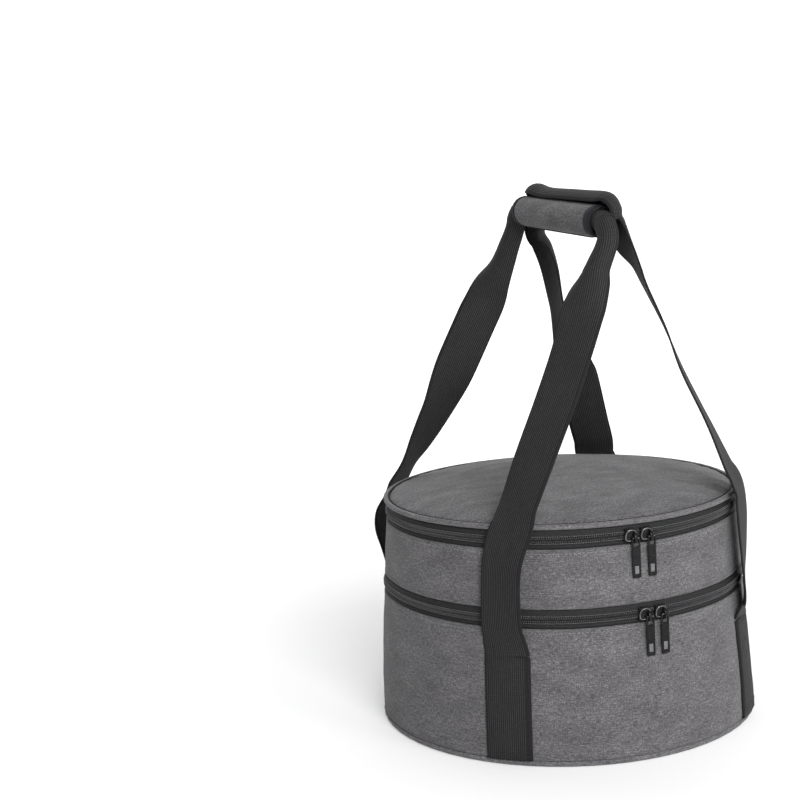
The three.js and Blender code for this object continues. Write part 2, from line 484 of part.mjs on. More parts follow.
add(straps, 'strap_loop_right', ribbon(rightParts[1]), webbing());

// -------------------------------------------------------------- handle wrap
// a stretch along the grip of a section given as [x, z above the grip's axis]
function alongGrip(section, y0, y1, steps = 1) {
  const sections = [];
  for (let i = 0; i <= steps; i++) {
    const y = y0 + (y1 - y0) * i / steps;
    sections.push(section.map(([x, z]) => V(x, y, gripZ(y) + z)));
  }
  return loft(sections, false, section.map(([x, z]) => new THREE.Vector2(x, z)));
}
function arcSection(cx, r0, r1, a0, a1, steps) {
  const inner = [];
  const outer = [];
  for (let i = 0; i <= steps; i++) {
    const a = (a0 + (a1 - a0) * i / steps) * deg;
    inner.push([cx + r0 * Math.cos(a), r0 * Math.sin(a)]);
    outer.push([cx + r1 * Math.cos(a), r1 * Math.sin(a)]);
  }
  return [...outer, ...inner.reverse()];
}
const wrapInner = GRIP_RADIUS + WEBBING_THICK / 2 + 0.6;
const PANEL_FROM = 99;            // the padded panel's arc round the left grip
const PANEL_TO = 306;
add(straps, 'handle_wrap_panel', alongGrip(arcSection(WRAP_X, wrapInner, wrapInner + WRAP_THICK, PANEL_FROM, PANEL_TO, 11), WRAP_FRONT_Y + 8.3, WRAP_REAR_Y - 5.2, 2), fabric());
add(straps, 'wrap_binding_front', alongGrip(arcSection(WRAP_X, wrapInner, wrapInner + WRAP_THICK + 0.5, PANEL_FROM, PANEL_TO, 10), WRAP_FRONT_Y, WRAP_FRONT_Y + 8), webbing());
add(straps, 'wrap_binding_rear', alongGrip(arcSection(WRAP_X, wrapInner, wrapInner + WRAP_THICK + 0.5, PANEL_FROM, PANEL_TO, 10), WRAP_REAR_Y - 4.9, WRAP_REAR_Y), webbing());
add(straps, 'wrap_loop_strip', alongGrip(arcSection(WRAP_X, wrapInner + WRAP_THICK + 0.3, wrapInner + WRAP_THICK + 1.3, 252, 292, 5), WRAP_FRONT_Y + 14, WRAP_REAR_Y - 12), webbing());
// the flap is the panel's upper arm; its upper edge on the panel is the hinge line
const FLAP_FROM = 37;
const FLAP_TO = 97;
add(straps, 'handle_wrap_flap', alongGrip(arcSection(WRAP_X, wrapInner + 1.1, wrapInner + 3.0, FLAP_FROM, FLAP_TO, 5), WRAP_FRONT_Y + 0.5, WRAP_REAR_Y - 0.5, 2), fabric());
add(straps, 'wrap_hook_strip', alongGrip(arcSection(WRAP_X, wrapInner + 0.1, wrapInner + 0.8, 42, 92, 4), WRAP_FRONT_Y + 12, WRAP_REAR_Y - 12), webbing());

export default bag;
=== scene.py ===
import bpy, bmesh, math
import numpy as np
from mathutils import Matrix, Vector


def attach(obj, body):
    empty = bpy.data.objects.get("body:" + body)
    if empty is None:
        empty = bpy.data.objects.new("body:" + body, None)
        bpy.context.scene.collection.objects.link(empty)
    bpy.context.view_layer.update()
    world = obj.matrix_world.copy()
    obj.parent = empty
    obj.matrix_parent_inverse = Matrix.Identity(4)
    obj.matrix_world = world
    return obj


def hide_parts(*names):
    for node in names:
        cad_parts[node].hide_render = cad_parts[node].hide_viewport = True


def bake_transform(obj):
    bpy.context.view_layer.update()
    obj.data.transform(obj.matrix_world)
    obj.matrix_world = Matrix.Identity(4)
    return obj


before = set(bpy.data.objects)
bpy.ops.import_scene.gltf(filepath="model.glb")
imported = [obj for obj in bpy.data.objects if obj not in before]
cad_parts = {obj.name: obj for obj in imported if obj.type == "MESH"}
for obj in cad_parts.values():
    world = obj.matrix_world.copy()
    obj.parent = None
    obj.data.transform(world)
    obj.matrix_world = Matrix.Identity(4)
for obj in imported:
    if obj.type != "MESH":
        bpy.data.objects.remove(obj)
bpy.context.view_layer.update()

scene = bpy.context.scene
RNG = np.random.default_rng(7)
D = math.pi / 180

# ------------------------------------------------------------------ camera
cam_data = bpy.data.cameras.new("camera")
cam = bpy.data.objects.new("camera", cam_data)
scene.collection.objects.link(cam)
cr, cu, cf = (0.932587, -0.356529, -0.056285), (0.102228, 0.111348, 0.98851), (0.346165, 0.927625, -0.140289)
cam.matrix_world = Matrix(((cr[0], cu[0], -cf[0], -0.5817), (cr[1], cu[1], -cf[1], -1.1821), (cr[2], cu[2], -cf[2], 0.4583), (0, 0, 0, 1)))
cam_data.lens = 69.846
cam_data.sensor_width = 36
cam_data.clip_end = 60
cam_data.clip_start = 0.02
scene.camera = cam

# -------------------------------------------------------------- dimensions, mm
BASE_R, MID_R, RIM_R = 160.0, 152.7, 148.3
LZ, UZ = 116.1, 178.1
START_Z = 4.9
BELOW, ABOVE = 7.0, 7.6
SHELL_TOP = LZ - BELOW - 0.3
BAND_BOTTOM = LZ + ABOVE + 0.3
BAND_TOP = UZ - BELOW - 0.3
LID_BOTTOM = UZ + ABOVE
PIPING_Z, PIPING_R = 188.3, 148.6
PANEL_HALF = 26.0
STRAP_A = 43.0
WEB_W, WEB_T = 37.0, 1.6
SEWN_TOP, ROOT_TOP = 87.0, 112.0
WRAP_F, WRAP_B = -85.0, 55.0
WRAP_X, WRAP_Z, WRAP_Y0, WRAP_S = 6.0, 421.0, -13.5, 0.063
GRIP_R = 8.5
ZIP_END = 180 - PANEL_HALF


def wall(z):
    z = np.asarray(z, float)
    low = BASE_R + (MID_R - BASE_R) * (z - START_Z) / (LZ - START_Z)
    high = MID_R + (RIM_R - MID_R) * (z - LZ) / (UZ - LZ)
    return np.where(z <= LZ, low, high)


def calm(a):
    """0 at the front, where the rigid sliders sit, and 1 away from it."""
    a = (np.asarray(a, float) + 180) % 360 - 180
    return 1 - np.exp(-(a / 13.0) ** 2)


def wobble(a, z):
    """The wall isn't a perfect cone: long shallow waves, in mm."""
    r = np.asarray(a, float) * D
    z = np.asarray(z, float)
    w = 0.55 * np.sin(3 * r + 1.2 + 0.012 * z) + 0.4 * np.sin(5 * r - 0.7 - 0.010 * z) + 0.28 * np.sin(8 * r + 2.1 + 0.02 * z) + 0.15 * np.sin(13 * r + 0.4)
    return w * calm(a) * np.clip((z - 4) / 30, 0.25, 1)


def swell(a, z):
    """The padding pushes the fabric out between its seams, in mm."""
    z = np.asarray(z, float)
    r = np.asarray(a, float) * D
    t = np.clip((z - START_Z) / (SHELL_TOP - START_Z), 0, 1)
    low = 1.1 * np.sin(math.pi * t) ** 0.8 * (1 + 0.25 * np.sin(4 * r + 0.5))
    u = np.clip((z - BAND_BOTTOM) / (BAND_TOP - BAND_BOTTOM), 0, 1)
    high = 0.8 * np.sin(math.pi * u) ** 0.8 * (1 + 0.25 * np.sin(5 * r + 1.9))
    return np.where(z < LZ, low, high)


def dimple(a, z):
    """Fine unevenness of the padded fabric, in mm: shallow dents that fade at the seams."""
    r = np.asarray(a, float) * D
    z = np.asarray(z, float)
    edge = np.where(z < LZ, np.clip((SHELL_TOP - z) / 18, 0, 1) * np.clip((z - START_Z) / 12, 0, 1),
                    np.clip((BAND_TOP - z) / 12, 0, 1) * np.clip((z - BAND_BOTTOM) / 12, 0, 1))
    d = 0.22 * np.sin(17 * r + 0.06 * z + 2 * np.sin(0.045 * z + 3 * r)) * np.sin(0.075 * z + 4 * np.sin(5 * r) + 1)
    d += 0.12 * np.sin(31 * r - 0.11 * z) * np.sin(0.13 * z + 9 * r)
    return d * edge


def surf(a, z):
    return wall(z) + wobble(a, z) + swell(a, z)


def polar(r, a, z):
    a = np.asarray(a, float) * D
    r, a, z = np.broadcast_arrays(np.asarray(r, float), a, np.asarray(z, float))
    return np.stack([r * np.sin(a), -r * np.cos(a), z], -1)


def grip_z(y):
    return WRAP_Z + WRAP_S * (y - WRAP_Y0)


# --------------------------------------------------------------- mesh helpers
def link(name, mesh, mats, body=None, node=(), smooth=True):
    ob = bpy.data.objects.new(name, mesh)
    scene.collection.objects.link(ob)
    for m in mats if isinstance(mats, (list, tuple)) else [mats]:
        mesh.materials.append(m)
    if smooth:
        mesh.polygons.foreach_set("use_smooth", [True] * len(mesh.polygons))
    if body:
        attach(ob, body)
    if node:
        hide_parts(*([node] if isinstance(node, str) else node))
    return ob


def mesh_from(name, verts, faces, uvs=None, mat_index=None):
    me = bpy.data.meshes.new(name)
    me.from_pydata((np.asarray(verts, float) / 1000).tolist(), [], [list(map(int, f)) for f in faces])
    if uvs is not None:
        lay = me.uv_layers.new(name="UVMap")
        lay.data.foreach_set("uv", (np.asarray(uvs, float) / 1000).ravel())
    if mat_index is not None:
        me.polygons.foreach_set("material_index", list(map(int, mat_index)))
    me.update()
    return me


def fix_normals(me):
    bm = bmesh.new()
    bm.from_mesh(me)
    bmesh.ops.recalc_face_normals(bm, faces=bm.faces)
    bm.to_mesh(me)
    bm.free()
    me.update()


def grid(name, P, U, V, close_i=False, close_j=False, cap=False, mat_rows=None):
    """A surface through P[i][j], with texture coordinates U along i and V along j, in mm."""
    ni, nj = P.shape[:2]
    fi = ni if close_i else ni - 1
    fj = nj if close_j else nj - 1
    i, j = np.meshgrid(np.arange(fi), np.arange(fj), indexing="ij")
    i2, j2 = (i + 1) % ni, (j + 1) % nj
    faces = np.stack([i * nj + j, i2 * nj + j, i2 * nj + j2, i * nj + j2], -1).reshape(-1, 4)
    U, V = np.asarray(U, float), np.asarray(V, float)
    if U.ndim == 1:
        u0, u1 = U[i], U[i + 1]
        uu = np.stack([u0, u1, u1, u0], -1)
    else:
        uu = np.stack([U[i, j], U[i + 1, j], U[i + 1, j + 1], U[i, j + 1]], -1)
    if V.ndim == 1:
        v0, v1 = V[j], V[j + 1]
        vv = np.stack([v0, v0, v1, v1], -1)
    else:
        vv = np.stack([V[i, j], V[i + 1, j], V[i + 1, j + 1], V[i, j + 1]], -1)
    uv = np.stack([uu, vv], -1).reshape(-1, 2)
    faces = faces.tolist()
    uv = uv.tolist()
    mi = None
    if mat_rows is not None:
        mi = [int(mat_rows[b]) for b in j.ravel()]
    if cap and close_j and not close_i:
        a = list(range(nj))
        b = [(ni - 1) * nj + k for k in range(nj)]
        for ringv, flip in ((a, True), (b, False)):
            f = ringv[::-1] if flip else ringv
            faces.append(f)
            uv += [[P[v // nj, v % nj, 0], P[v // nj, v % nj, 2]] for v in f]
            if mi is not None:
                mi.append(int(mat_rows[0]))
    me = mesh_from(name, P.reshape(-1, 3), faces, uv, mi)
    fix_normals(me)
    return me


def cumulative(points):
    p = np.asarray(points, float)
    return np.concatenate([[0], np.cumsum(np.linalg.norm(np.diff(p, axis=0), axis=1))])


def revolve(name, prof, radius, n=300, span=None, inset=0.0, mat_rows=None):
    """prof: closed list of (offset, z); radius(a, z, offset) gives the radius of a point."""
    prof = np.asarray(prof, float)
    if span is None:
        ang = np.arange(n) * 360.0 / n
        ua = np.append(ang, 360.0)
    else:
        ang = np.linspace(span[0] + inset, span[1] - inset, n)
        ua = ang
    A = ang[:, None]
    R = radius(A, prof[None, :, 1], prof[None, :, 0]) + 0 * A
    P = polar(R, A + 0 * R, prof[None, :, 1] + 0 * R)
    closed = np.vstack([prof, prof[:1]])
    V = cumulative(closed)
    V = V + prof[0, 1]
    U = ua * D * 154.0
    return grid(name, P, U, V, close_i=span is None, close_j=True, cap=span is not None, mat_rows=mat_rows)


def sheet_profile(z0, z1, out, thick, rows, soft=0.45):
    """A sheet between two heights, rounded at both edges, as (offset, z) pairs."""
    t, e = thick, min(thick * soft, (z1 - z0) * 0.3)
    zs = np.linspace(z0 + e, z1 - e, rows)
    outer = [(-out, z) for z in zs]
    top = [(-out - 0.15 * t, z1 - 0.3 * e), (-out - 0.35 * t, z1), (-out - 0.65 * t, z1), (-out - 0.85 * t, z1 - 0.3 * e)]
    inner = [(-out - t, z) for z in zs[::-1]]
    bottom = [(-out - 0.85 * t, z0 + 0.3 * e), (-out - 0.65 * t, z0), (-out - 0.35 * t, z0), (-out - 0.15 * t, z0 + 0.3 * e)]
    return outer + top + inner + bottom


def sharp_rims(me, per_ring, rings):
    """Keeps the flat end faces of a closed strip from bending its shading."""
    ev = np.zeros(len(me.edges) * 2, dtype=np.int32)
    me.edges.foreach_get("vertices", ev)
    ring = ev.reshape(-1, 2) // per_ring
    flag = np.zeros(len(me.edges), dtype=bool)
    for k in rings:
        flag |= (ring == k).all(1)
    att = me.attributes.get("sharp_edge") or me.attributes.new("sharp_edge", "BOOLEAN", "EDGE")
    att.data.foreach_set("value", flag)


def disc(name, prof, n=240, radius=None):
    """A solid of revolution whose profile runs from the axis to the axis."""
    prof = np.asarray(prof, float)
    ang = np.arange(n) * 360.0 / n
    A = ang[:, None]
    R = prof[None, :, 0] + 0 * A
    Z = prof[None, :, 1] + 0 * A
    if radius is not None:
        R, Z = radius(A, R, Z)
    R = np.maximum(R, 0.02)
    P = polar(R, A + 0 * R, Z)
    # flat coordinates, so the weave runs straight across
    ni, nj = P.shape[:2]
    i, j = np.meshgrid(np.arange(ni), np.arange(nj - 1), indexing="ij")
    i2 = (i + 1) % ni
    faces = np.stack([i * nj + j, i2 * nj + j, i2 * nj + j + 1, i * nj + j + 1], -1).reshape(-1, 4)
    flat = P.reshape(-1, 3)
    uv = flat[faces.reshape(-1)][:, :2]
    faces = faces.tolist()
    uv = uv.tolist()
    for col in (0, nj - 1):
        f = [k * nj + col for k in range(ni)]
        faces.append(f)
        uv += flat[f][:, :2].tolist()
    me = mesh_from(name, flat, faces, uv)
    fix_normals(me)
    return me


def tubes(name, starts, ends, outs, radius, bow=0.0, ring=6, rows=4, flat=1.0):
    """Many short rounded tubes at once, such as stitches: starts, ends and outs are N x 3."""
    starts, ends, outs = (np.asarray(x, float) for x in (starts, ends, outs))
    n = len(starts)
    t = ends - starts
    L = np.linalg.norm(t, axis=1, keepdims=True)
    t = t / np.maximum(L, 1e-9)
    o = outs - (outs * t).sum(1, keepdims=True) * t
    o /= np.maximum(np.linalg.norm(o, axis=1, keepdims=True), 1e-9)
    s = np.cross(t, o)
    ph = np.arange(ring) / ring * 2 * math.pi
    verts = []
    for k in range(rows):
        f = k / (rows - 1)
        rad = radius * (0.45 + 0.55 * math.sin(math.pi * f) ** 0.5)
        centre = starts + (ends - starts) * f + o * (bow * math.sin(math.pi * f))
        verts.append(centre[:, None] + rad * (np.cos(ph)[None, :, None] * s[:, None] + flat * np.sin(ph)[None, :, None] * o[:, None]))
    verts = np.stack(verts, 1)                      # n, rows, ring, 3
    per = rows * ring
    f0 = []
    for k in range(rows - 1):
        for q in range(ring):
            q2 = (q + 1) % ring
            f0.append([k * ring + q, k * ring + q2, (k + 1) * ring + q2, (k + 1) * ring + q])
    f0 = np.array(f0)
    faces = (np.arange(n)[:, None, None] * per + f0[None]).reshape(-1, 4).tolist()
    for m in range(n):
        faces.append([m * per + q for q in range(ring)][::-1])
        faces.append([m * per + (rows - 1) * ring + q for q in range(ring)])
    uvs = np.zeros((sum(len(f) for f in faces), 2))
    return mesh_from(name, verts.reshape(-1, 3), faces, uvs)


def join_meshes(name, parts):
    """One mesh of several, keeping texture coordinates; parts is a list of (mesh, material index)."""
    bm = bmesh.new()
    for me, mi in parts:
        me.polygons.foreach_set("material_index", [mi] * len(me.polygons))
        if not me.uv_layers:
            me.uv_layers.new(name="UVMap")
        bm.from_mesh(me)
    out = bpy.data.meshes.new(name)
    bm.to_mesh(out)
    bm.free()
    for me, _ in parts:
        bpy.data.meshes.remove(me)
    out.update()
    return out


def plate_mesh(name, outline, holes, depth, bevel, res=2):
    """A flat plate with rounded edges, from outlines in its own (x, z) plane, centred on y = 0."""
    cu = bpy.data.curves.new(name + "_c", "CURVE")
    cu.dimensions = "2D"
    cu.fill_mode = "BOTH"
    cu.extrude = max(depth / 2 - bevel, 0.01) / 1000
    cu.bevel_depth = bevel / 1000
    cu.bevel_resolution = res
    cu.offset = -bevel / 1000
    for loop in [outline] + list(holes):
        sp = cu.splines.new("POLY")
        sp.points.add(len(loop) - 1)
        for p, (x, z) in zip(sp.points, loop):
            p.co = (x / 1000, z / 1000, 0, 1)
        sp.use_cyclic_u = True
    ob = bpy.data.objects.new(name + "_t", cu)
    scene.collection.objects.link(ob)
    bpy.context.view_layer.update()
    me = bpy.data.meshes.new_from_object(ob.evaluated_get(bpy.context.evaluated_depsgraph_get()))
    bpy.data.objects.remove(ob)
    bpy.data.curves.remove(cu)
    me.transform(Matrix(((1, 0, 0, 0), (0, 0, -1, 0), (0, 1, 0, 0), (0, 0, 0, 1))))
    me.name = name
    return me


def rounded(points, radius, steps=4):
    """The polygon with its corners rounded."""
    pts = [np.array(p, float) for p in points]
    out = []
    for k, p in enumerate(pts):
        a, b = pts[k - 1] - p, pts[(k + 1) % len(pts)] - p
        la, lb = np.linalg.norm(a), np.linalg.norm(b)
        r = min(radius, 0.45 * la, 0.45 * lb)
        p0, p1 = p + a / la * r, p + b / lb * r
        for s in range(steps + 1):
            f = s / steps
            out.append(tuple((1 - f) ** 2 * p0 + 2 * f * (1 - f) * p + f ** 2 * p1))
    return out


# ------------------------------------------------------------------ materials
class Mat:
    """A small builder for node materials."""

    def __init__(self, name):
        self.m = bpy.data.materials.new(name)
        self.m.use_nodes = True
        self.t = self.m.node_tree
        self.t.nodes.clear()
        self.out = self.t.nodes.new("ShaderNodeOutputMaterial")
        self.b = self.t.nodes.new("ShaderNodeBsdfPrincipled")
        self.t.links.new(self.b.outputs[0], self.out.inputs[0])

    def put(self, socket, value):
        if hasattr(value, "links"):
            self.t.links.new(value, socket)
        else:
            socket.default_value = value

    def set(self, **kw):
        for k, v in kw.items():
            self.put(self.b.inputs[k.replace("_", " ")], v)
        return self

    def coords(self, kind="UV", scale=(1, 1, 1), rotate=0.0, shift=(0, 0, 0)):
        n = self.t.nodes.new("ShaderNodeTexCoord")
        mp = self.t.nodes.new("ShaderNodeMapping")
        mp.inputs["Scale"].default_value = scale
        mp.inputs["Location"].default_value = shift
        mp.inputs["Rotation"].default_value = (0, 0, rotate)
        self.t.links.new(n.outputs[kind], mp.inputs[0])
        return mp.outputs[0]

    def noise(self, vec, scale=1.0, detail=2.0, rough=0.5, dims="3D", distort=0.0):
        n = self.t.nodes.new("ShaderNodeTexNoise")
        n.noise_dimensions = dims
        self.put(n.inputs["Vector"], vec)
        n.inputs["Scale"].default_value = scale
        n.inputs["Detail"].default_value = detail
        n.inputs["Roughness"].default_value = rough
        n.inputs["Distortion"].default_value = distort
        return n.outputs[0]

    def math(self, op, a, b=0.0, c=0.0):
        n = self.t.nodes.new("ShaderNodeMath")
        n.operation = op
        for s, v in zip(n.inputs, (a, b, c)):
            self.put(s, v)
        return n.outputs[0]

    def sep(self, vec):
        n = self.t.nodes.new("ShaderNodeSeparateXYZ")
        self.put(n.inputs[0], vec)
        return n.outputs

    def ramp(self, fac, stops):
        n = self.t.nodes.new("ShaderNodeValToRGB")
        self.put(n.inputs[0], fac)
        e = n.color_ramp.elements
        while len(e) < len(stops):
            e.new(0.5)
        for el, (p, c) in zip(e, stops):
            el.position = p
            el.color = (c[0], c[1], c[2], 1) if isinstance(c, (list, tuple)) else (c, c, c, 1)
        return n.outputs[0]

    def mix(self, fac, a, b):
        n = self.t.nodes.new("ShaderNodeMix")
        n.data_type = "RGBA"
        self.put(n.inputs[0], fac)
        for s, v in ((n.inputs[6], a), (n.inputs[7], b)):
            if isinstance(v, (list, tuple)):
                v = (v[0], v[1], v[2], 1)
            self.put(s, v)
        return n.outputs[2]

    def bump(self, height, strength, distance, normal=None):
        n = self.t.nodes.new("ShaderNodeBump")
        n.inputs["Strength"].default_value = strength
        n.inputs["Distance"].default_value = distance
        self.put(n.inputs["Height"], height)
        if normal is not None:
            self.put(n.inputs["Normal"], normal)
        self.t.links.new(n.outputs[0], self.b.inputs["Normal"])
        return n.outputs[0]


def heather(name, kind="UV", tone=1.0, angle=0.0, coarse=1.0):
    """Melange polyester: a plain weave of light and dark yarns with slubs both ways."""
    g = Mat(name)
    weft = g.noise(g.coords(kind, (280, 1250, 280), angle), detail=3, rough=0.62)
    warp = g.noise(g.coords(kind, (1250, 300, 1250), angle, (3.1, 7.7, 0)), detail=3, rough=0.62)
    slub = g.noise(g.coords(kind, (75, 620, 75), angle, (5, 1, 8)), detail=2, rough=0.5)
    grain = g.noise(g.coords(kind, (950, 950, 950), angle, (9, 2, 5)), detail=2, rough=0.7)
    cloud = g.noise(g.coords(kind, (38, 60, 38), angle, (1, 4, 2)), detail=3)
    f = g.math("ADD", g.math("MULTIPLY", weft, 0.36), g.math("MULTIPLY", warp, 0.26))
    f = g.math("ADD", f, g.math("MULTIPLY", slub, 0.11))
    f = g.math("ADD", f, g.math("MULTIPLY", grain, 0.27 * coarse))
    f = g.math("ADD", f, g.math("MULTIPLY", g.math("SUBTRACT", cloud, 0.5), 0.12 * coarse))
    f = g.math("SUBTRACT", f, 0.135 * (coarse - 1))
    k = tone * 0.635
    colour = g.ramp(f, [(0.37, (0.040 * k, 0.0385 * k, 0.0415 * k)), (0.455, (0.094 * k, 0.0905 * k, 0.096 * k)), (0.515, (0.150 * k, 0.1445 * k, 0.151 * k)),
                        (0.565, (0.215 * k, 0.2075 * k, 0.216 * k)), (0.66, (0.40 * k, 0.389 * k, 0.40 * k))])
    g.set(Base_Color=colour, Roughness=0.92)
    g.b.inputs["Specular IOR Level"].default_value = 0.15
    g.b.inputs["Sheen Weight"].default_value = 0.10
    g.b.inputs["Sheen Roughness"].default_value = 0.6
    x, y, _ = g.sep(g.coords(kind, (1, 1, 1), angle))
    wx = g.math("SINE", g.math("MULTIPLY", x, 2 * math.pi / 0.00085))
    wy = g.math("SINE", g.math("MULTIPLY", y, 2 * math.pi / 0.00085))
    weave = g.math("MULTIPLY", wx, wy)
    hgt = g.math("ADD", g.math("MULTIPLY", weave, 0.22), g.math("MULTIPLY", f, 1.6))
    g.bump(hgt, 0.6, 0.00022)
    return g.m


def webbing_mat(name, width=WEB_W, tint=(1.0, 1.0, 1.0), edges=(0.0016, 0.0026)):
    """Ribbed webbing: fine lengthwise ribs, a dotted cross weave, and plain edge bands that are darker than the
    middle.
    """
    g = Mat(name)
    x, y, _ = g.sep(g.coords("UV"))
    rib = g.math("SINE", g.math("MULTIPLY", x, 2 * math.pi / 0.00165))
    cross = g.math("SINE", g.math("ADD", g.math("MULTIPLY", y, 2 * math.pi / 0.0012), g.math("MULTIPLY", rib, 1.6)))
    fuzz = g.noise(g.coords("UV", (900, 520, 1)), detail=3, rough=0.65)
    long = g.noise(g.coords("UV", (1300, 60, 1), 0, (4, 1, 0)), detail=2)
    broad = g.noise(g.coords("UV", (30, 14, 1), 0, (2, 6, 0)), detail=3)
    inside = g.math("MULTIPLY", g.math("GREATER_THAN", x, edges[0]), g.math("LESS_THAN", x, width / 1000 - edges[1]))
    weave = g.math("ADD", g.math("MULTIPLY", rib, 0.23), g.math("MULTIPLY", cross, 0.11))
    f = g.math("ADD", g.math("MULTIPLY", weave, inside), g.math("MULTIPLY", fuzz, 0.40))
    f = g.math("ADD", f, g.math("ADD", g.math("MULTIPLY", long, 0.22), g.math("MULTIPLY", broad, 0.16)))
    f = g.math("ADD", f, g.math("MULTIPLY", inside, 0.11))
    r, h, b = tint
    colour = g.ramp(f, [(0.26, (0.0070 * r, 0.0061 * h, 0.0073 * b)), (0.42, (0.0112 * r, 0.0104 * h, 0.0114 * b)), (0.56, (0.0174 * r, 0.0167 * h, 0.0174 * b)), (0.78, (0.039 * r, 0.0382 * h, 0.0388 * b))])
    g.set(Base_Color=colour, Roughness=0.80)
    g.b.inputs["Specular IOR Level"].default_value = 0.14
    g.b.inputs["Sheen Weight"].default_value = 0.03
    hgt = g.math("ADD", g.math("MULTIPLY", g.math("MULTIPLY", rib, inside), 0.45), g.math("MULTIPLY", g.math("MULTIPLY", cross, inside), 0.25))
    g.bump(g.math("ADD", hgt, g.math("MULTIPLY", fuzz, 0.35)), 0.6, 0.00020)
    return g.m


def tape_mat(name):
    g = Mat(name)
    x, y, _ = g.sep(g.coords("UV"))
    zig = g.math("SINE", g.math("MULTIPLY", g.math("ADD", x, g.math("MULTIPLY", g.math("PINGPONG", y, 0.0011), 1.0)), 2 * math.pi / 0.0009))
    fuzz = g.noise(g.coords("UV", (500, 900, 1)), detail=3)
    colour = g.ramp(fuzz, [(0.3, (0.0075, 0.0074, 0.0077)), (0.5, (0.0125, 0.0127, 0.0130)), (0.75, (0.023, 0.0233, 0.0236))])
    g.set(Base_Color=colour, Roughness=0.8)
    g.b.inputs["Specular IOR Level"].default_value = 0.25
    g.bump(g.math("ADD", g.math("MULTIPLY", zig, 0.4), g.math("MULTIPLY", fuzz, 0.5)), 0.5, 0.00018)
    return g.m


def plain_mat(name, dark, light, rough, scale=300.0, metal=0.0, spec=0.5, bump=0.3, dist=0.0001, kind="Object", detail=3, rough_span=0.08):
    g = Mat(name)
    n = g.noise(g.coords(kind, (scale, scale, scale)), detail=detail, rough=0.6)
    g.set(Base_Color=g.ramp(n, [(0.3, dark), (0.7, light)]))
    g.set(Roughness=g.math("ADD", rough - rough_span / 2, g.math("MULTIPLY", n, rough_span)))
    g.b.inputs["Metallic"].default_value = metal
    g.b.inputs["Specular IOR Level"].default_value = spec
    g.bump(n, bump, dist)
    return g.m


def liner_mat(name):
    """Silver insulating film: heat-embossed, with small crinkles."""
    g = Mat(name)
    big = g.noise(g.coords("Object", (26, 26, 26)), detail=4, rough=0.6, distort=0.8)
    fine = g.noise(g.coords("Object", (190, 190, 190)), detail=3, rough=0.6)
    g.set(Base_Color=g.ramp(big, [(0.3, (0.50, 0.51, 0.53)), (0.7, (0.66, 0.67, 0.68))]))
    g.set(Roughness=g.math("ADD", 0.26, g.math("MULTIPLY", fine, 0.2)))
    g.b.inputs["Metallic"].default_value = 0.55
    g.bump(g.math("ADD", big, g.math("MULTIPLY", fine, 0.25)), 0.55, 0.0016)
    return g.m


def metal_mat(name):
    g = Mat(name)
    n = g.noise(g.coords("Object", (240, 240, 240)), detail=4, rough=0.65)
    wear = g.noise(g.coords("Object", (900, 900, 900), 0, (2, 5, 1)), detail=2)
    g.set(Base_Color=g.ramp(n, [(0.35, (0.006, 0.0056, 0.0056)), (0.75, (0.014, 0.0135, 0.0135))]))
    g.set(Roughness=g.math("ADD", 0.20, g.math("MULTIPLY", wear, 0.16)))
    g.b.inputs["Metallic"].default_value = 0.30
    g.b.inputs["Specular IOR Level"].default_value = 0.16
    g.b.inputs["Coat Weight"].default_value = 0.03
    g.b.inputs["Coat Roughness"].default_value = 0.12
    g.bump(n, 0.12, 0.0001)
    return g.m


M_FABRIC = heather("heather_fabric")
M_FABRIC_LID = heather("heather_fabric_lid", tone=0.93, coarse=1.6)
M_FABRIC_WRAP = heather("heather_fabric_wrap", tone=0.80, coarse=1.7)
M_FABRIC_PIPE = heather("heather_fabric_piping", tone=1.12, angle=0.785)
M_FABRIC_DARK = heather("heather_fabric_inside", tone=0.85)
M_WEB = webbing_mat("ribbed_webbing")
M_WEB_SEWN = webbing_mat("ribbed_webbing_sewn", edges=(0.0016, 0.0050))
M_BIND = webbing_mat("binding_tape", 60.0, (0.92, 1.08, 1.16), (0.0, 0.0))
M_TAPE = tape_mat("zip_tape")
M_COIL = plain_mat("coil_nylon", (0.012, 0.012, 0.013), (0.026, 0.026, 0.028), 0.38, 700, spec=0.5)
M_THREAD_FABRIC = plain_mat("thread_fabric", (0.055, 0.053, 0.056), (0.10, 0.097, 0.10), 0.8, 1500, spec=0.2)
M_THREAD = plain_mat("thread_grey", (0.15, 0.15, 0.152), (0.26, 0.26, 0.262), 0.8, 1500, spec=0.2)
M_THREAD_DARK = plain_mat("thread_black", (0.010, 0.010, 0.011), (0.022, 0.022, 0.023), 0.75, 1500, spec=0.3)
M_THREAD_ZIP = plain_mat("thread_zip", (0.13, 0.13, 0.131), (0.25, 0.25, 0.25), 0.7, 1500, spec=0.3)
# painted shadow: a near-black material for the groove beside the lid's piping
M_SEAM_SHADOW = plain_mat("seam_shadow_tape", (0.008, 0.008, 0.009), (0.018, 0.018, 0.019), 0.85, 900, spec=0.2)
M_METAL = metal_mat("gunmetal")
# a lighter metal for the rim round the slider's collar: its colour is a painted highlight
M_RIM_HIGHLIGHT = plain_mat("metal_edge_painted_highlight", (0.10, 0.10, 0.105), (0.22, 0.22, 0.225), 0.30, 420, metal=0.9, bump=0.2)
